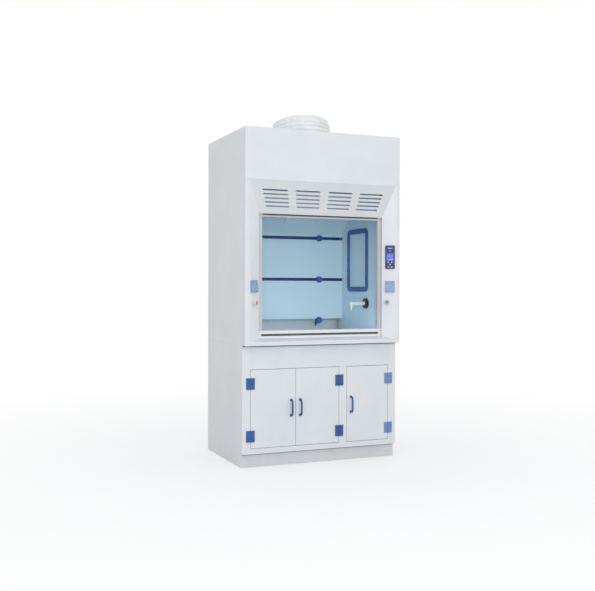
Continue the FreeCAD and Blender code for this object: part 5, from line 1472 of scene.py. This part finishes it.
class HOOD_OT_control_panel(Operator):
    """Dress the control panel, its display and its keys"""

    bl_idname = "hood.control_panel"
    bl_label = "Control panel"

    def execute(self, context):
        sizes = settings()[0]
        edge = sizes.moulded_edge / 2
        dressed("control_panel", "panel_housing", finish("panel_moulding"), edge)
        dressed("display_screen", "display_face", finish("panel_moulding"), edge / 2)
        for key in KEYS:
            dressed("key_" + key, key + "_key_cap", finish("key_moulding"), edge)
        self.window()
        self.key_marks()
        return {"FINISHED"}

    def window(self):
        """The lit window with its reading, and the pale strip and ring above it."""
        face = on_bevel(1, PANEL_ALONG, WINDOW_HEIGHT, PANEL_PROUD)
        window = stood(rounded_plate("display_window", 0.05, 0.055, 0.0022, 0.0005), face, 0.00015)
        added(window, lit_window(), "hood")
        bars = []
        for place, digit in ((-0.0135, "0"), (0.0005, "5"), (0.0145, "0")):
            for x, y, width, height in digit_bars(digit, 0.0085, 0.0165, 0.0013):
                bar = rounded_plate("bar", width, height, 0.0003, 0.0002, 2)
                bars.append(stood(bar, face @ Matrix.Translation((place + x, 0.0085 + y, 0.0005))))
        point = rounded_plate("bar", 0.0016, 0.0016, 0.0003, 0.0002, 2)
        bars.append(stood(point, face @ Matrix.Translation((-0.0065, 0.001, 0.0005))))
        for index in range(8):
            rise = 0.0014 + 0.0008 * index
            bar = rounded_plate("bar", 0.0034, rise, 0.0002, 0.0002, 2)
            at = Matrix.Translation((-0.0165 + 0.0047 * index, -0.0205 + rise / 2, 0.0005))
            bars.append(stood(bar, face @ at))
        added(joined("display_reading", *bars), display_pale(), "hood")
        strip = rounded_plate("strip", 0.034, 0.0042, 0.0016, 0.0003)
        parts = [stood(strip, on_bevel(1, PANEL_ALONG, STRIP_HEIGHT, PANEL_PROUD))]
        outline = [(0.0026, 0), (0.0044, 0), (0.0044, 0.0003), (0.0026, 0.0003), (0.0026, 0)]
        ring = lathed("ring", outline, 32)
        parts.append(stood(ring, on_bevel(1, PANEL_ALONG, RING_HEIGHT, PANEL_PROUD)))
        added(joined("panel_marks", *parts), display_pale(), "hood")

    def key_marks(self):
        """A plain sign on each key: up, down, on and off, light, and outlet."""
        for key, (x, z) in KEYS.items():
            face = on_bevel(1, PANEL_ALONG, z, PANEL_PROUD + 0.0016) @ Matrix.Translation((x, 0, 0))
            parts = []
            if key in ("fan_up", "fan_down"):
                mark = started("cylinder", vertices=3, radius=0.0027, depth=0.0002)
                way = 1 if key == "fan_up" else -1
                settle(mark, Matrix.Diagonal((1, way, 1, 1)) @ Matrix.Rotation(math.pi / 2, 4, "Z"))
                parts.append(mark)
            elif key == "socket":
                for place in (-0.0012, 0.0012):
                    dot = started("cylinder", vertices=16, radius=0.0006, depth=0.0002)
                    settle(dot, Matrix.Translation((place, 0, 0)))
                    parts.append(dot)
            if key in ("power", "socket", "lamp"):
                inner = 0.0 if key == "lamp" else 0.0021
                outer = 0.0017 if key == "lamp" else 0.0026
                outline = [(inner, -0.0001), (outer, -0.0001), (outer, 0.0001), (inner, 0.0001)]
                if inner:
                    outline.append(outline[0])
                parts.append(lathed("ring", outline, 32))
            if key == "power":
                bar = rounded_plate("bar", 0.0006, 0.0026, 0.0002, 0.0001, 2)
                parts.append(stood(bar, Matrix.Translation((0, 0.0019, 0))))
            if key == "lamp":
                for index in range(8):
                    turn = Matrix.Rotation(math.tau * index / 8, 4, "Z")
                    ray = rounded_plate("bar", 0.0004, 0.0008, 0.0001, 0.0001, 2)
                    parts.append(stood(ray, turn @ Matrix.Translation((0, 0.0027, 0))))
            sign = joined(key + "_key_sign", *parts)
            recalculated(sign)
            settle(sign, face)
            added(sign, finish("panel_moulding"), "key_" + key)


CAMERA_PLACE = (-2.578793, -5.989291, 1.257521)
CAMERA_YAW = math.radians(23.033)
CAMERA_PITCH = math.radians(-0.596)
CAMERA_ROLL = math.radians(0.146)
CAMERA_LENS = 52.415


def camera_matrix():
    forward = Vector(
        (
            math.sin(CAMERA_YAW) * math.cos(CAMERA_PITCH),
            math.cos(CAMERA_YAW) * math.cos(CAMERA_PITCH),
            math.sin(CAMERA_PITCH),
        )
    )
    level = Vector((math.cos(CAMERA_YAW), -math.sin(CAMERA_YAW), 0))
    upright = level.cross(forward)
    right = level * math.cos(CAMERA_ROLL) + upright * math.sin(CAMERA_ROLL)
    up = upright * math.cos(CAMERA_ROLL) - level * math.sin(CAMERA_ROLL)
    matrix = Matrix((right, up, -forward)).transposed().to_4x4()
    matrix.translation = Vector(CAMERA_PLACE)
    return matrix


def soft_lamp(name, place, target, size, power, colour=(1, 1, 1)):
    data = bpy.data.lights.new(name, "AREA")
    data.shape = "RECTANGLE"
    data.size, data.size_y = size
    data.energy = power
    data.color = colour
    lamp = bpy.data.objects.new(name, data)
    lamp.matrix_world = facing(place, Vector(place) - Vector(target))
    bpy.context.scene.collection.objects.link(lamp)
    return lamp


def backdrop_material():
    """Pale floor and backdrop that camera, mirror and glass rays see as near white."""
    material, shader = blank("pale_backdrop", tone(244, 245, 247), 0.75)
    tree = material.node_tree
    place = object_place(tree)
    clouds = ranged(tree, noise(tree, place, 2.0), 0.3, 0.7)
    shade = blended(tree, clouds, tone(244, 245, 247), tone(241, 243, 245))
    path = tree.nodes.new("ShaderNodeLightPath")
    shade = blended(tree, path.outputs["Is Diffuse Ray"], shade, tone(176, 178, 180))
    tree.links.new(shade, shader.inputs["Base Color"])
    glow = tree.nodes.new("ShaderNodeEmission")
    distance = tree.nodes.new("ShaderNodeVectorMath")
    distance.operation = "LENGTH"
    tree.links.new(place, distance.inputs[0])
    far = ranged(tree, distance.outputs["Value"], 1.2, 4.5, 0.45, 1.0)
    seen = seen_directly(tree)
    mix = tree.nodes.new("ShaderNodeMixShader")
    tree.links.new(maths(tree, "MULTIPLY", seen, far), mix.inputs["Fac"])
    tree.links.new(shader.outputs["BSDF"], mix.inputs[1])
    tree.links.new(glow.outputs["Emission"], mix.inputs[2])
    tree.links.new(mix.outputs["Shader"], tree.nodes["Material Output"].inputs["Surface"])
    return material


def seen_directly(tree):
    """One for camera, mirror and glass rays, zero for the light that falls on the hood."""
    path = tree.nodes.new("ShaderNodeLightPath")
    seen = maths(tree, "MAXIMUM", path.outputs["Is Camera Ray"], path.outputs["Is Glossy Ray"])
    return maths(tree, "MAXIMUM", seen, path.outputs["Is Transmission Ray"])


class HOOD_OT_stage(Operator):
    """Set the plain floor, the soft studio light and the camera"""

    bl_idname = "hood.stage"
    bl_label = "Stage"

    def execute(self, context):
        clear_selection()
        bpy.ops.mesh.primitive_plane_add(size=30, location=(0, 0, 0))
        floor = bpy.context.object
        floor.name = "studio_floor"
        paint(floor, backdrop_material())
        world = bpy.data.worlds.new("studio")
        context.scene.world = world
        world.use_nodes = True
        sky = world.node_tree.nodes["Background"]
        strength = ranged(world.node_tree, seen_directly(world.node_tree), 0.0, 1.0, 0.92, 1.0)
        world.node_tree.links.new(strength, sky.inputs["Strength"])
        sky.inputs["Color"].default_value = (1, 1, 1, 1)
        soft_lamp("key_softbox", (-2.0, -7.6, 1.9), (0, 0, 1.2), (3.4, 3.4), 160)
        inside = soft_lamp(
            "chamber_light", (0, -0.3, 1.0), (0, 0.33, 1.0), (0.85, 0.12), 0.6, (0.84, 0.93, 1.0)
        )
        inside.visible_camera = False
        inside.visible_glossy = False
        data = bpy.data.cameras.new("photo_camera")
        data.sensor_width = 36
        data.lens = CAMERA_LENS
        data.clip_end = 100
        camera = bpy.data.objects.new("photo_camera", data)
        camera.matrix_world = camera_matrix()
        context.scene.collection.objects.link(camera)
        context.scene.camera = camera
        context.scene.view_settings.view_transform = "Standard"
        return {"FINISHED"}


STEPS = (
    HOOD_OT_stage,
    HOOD_OT_shell,
    HOOD_OT_base,
    HOOD_OT_doors,
    HOOD_OT_chamber,
    HOOD_OT_sash,
    HOOD_OT_exhaust,
    HOOD_OT_services,
    HOOD_OT_control_panel,
)


class HOOD_PT_panel(Panel):
    """Sizes, colours and the pieces of the hood"""

    bl_label = "Fume Hood"
    bl_idname = "HOOD_PT_panel"
    bl_space_type = "VIEW_3D"
    bl_region_type = "UI"
    bl_category = "Fume Hood"

    def draw(self, context):
        for settings_group in (context.scene.hood_sizes, context.scene.hood_colours):
            box = self.layout.box()
            for name in settings_group.bl_rna.properties.keys():
                if name not in ("rna_type", "name"):
                    box.prop(settings_group, name)
        for step in STEPS:
            self.layout.operator(step.bl_idname)


CLASSES = (HoodSizes, HoodColours, *STEPS, HOOD_PT_panel)


def register():
    for item in CLASSES:
        bpy.utils.register_class(item)
    bpy.types.Scene.hood_sizes = PointerProperty(type=HoodSizes)
    bpy.types.Scene.hood_colours = PointerProperty(type=HoodColours)


def unregister():
    del bpy.types.Scene.hood_colours
    del bpy.types.Scene.hood_sizes
    for item in reversed(CLASSES):
        bpy.utils.unregister_class(item)


def main():
    register()
    bpy.ops.hood.stage()
    bpy.ops.hood.shell()
    bpy.ops.hood.base()
    bpy.ops.hood.doors()
    bpy.ops.hood.chamber()
    bpy.ops.hood.sash()
    bpy.ops.hood.exhaust()
    bpy.ops.hood.services()
    bpy.ops.hood.control_panel()


if __name__ == "__main__":
    main()
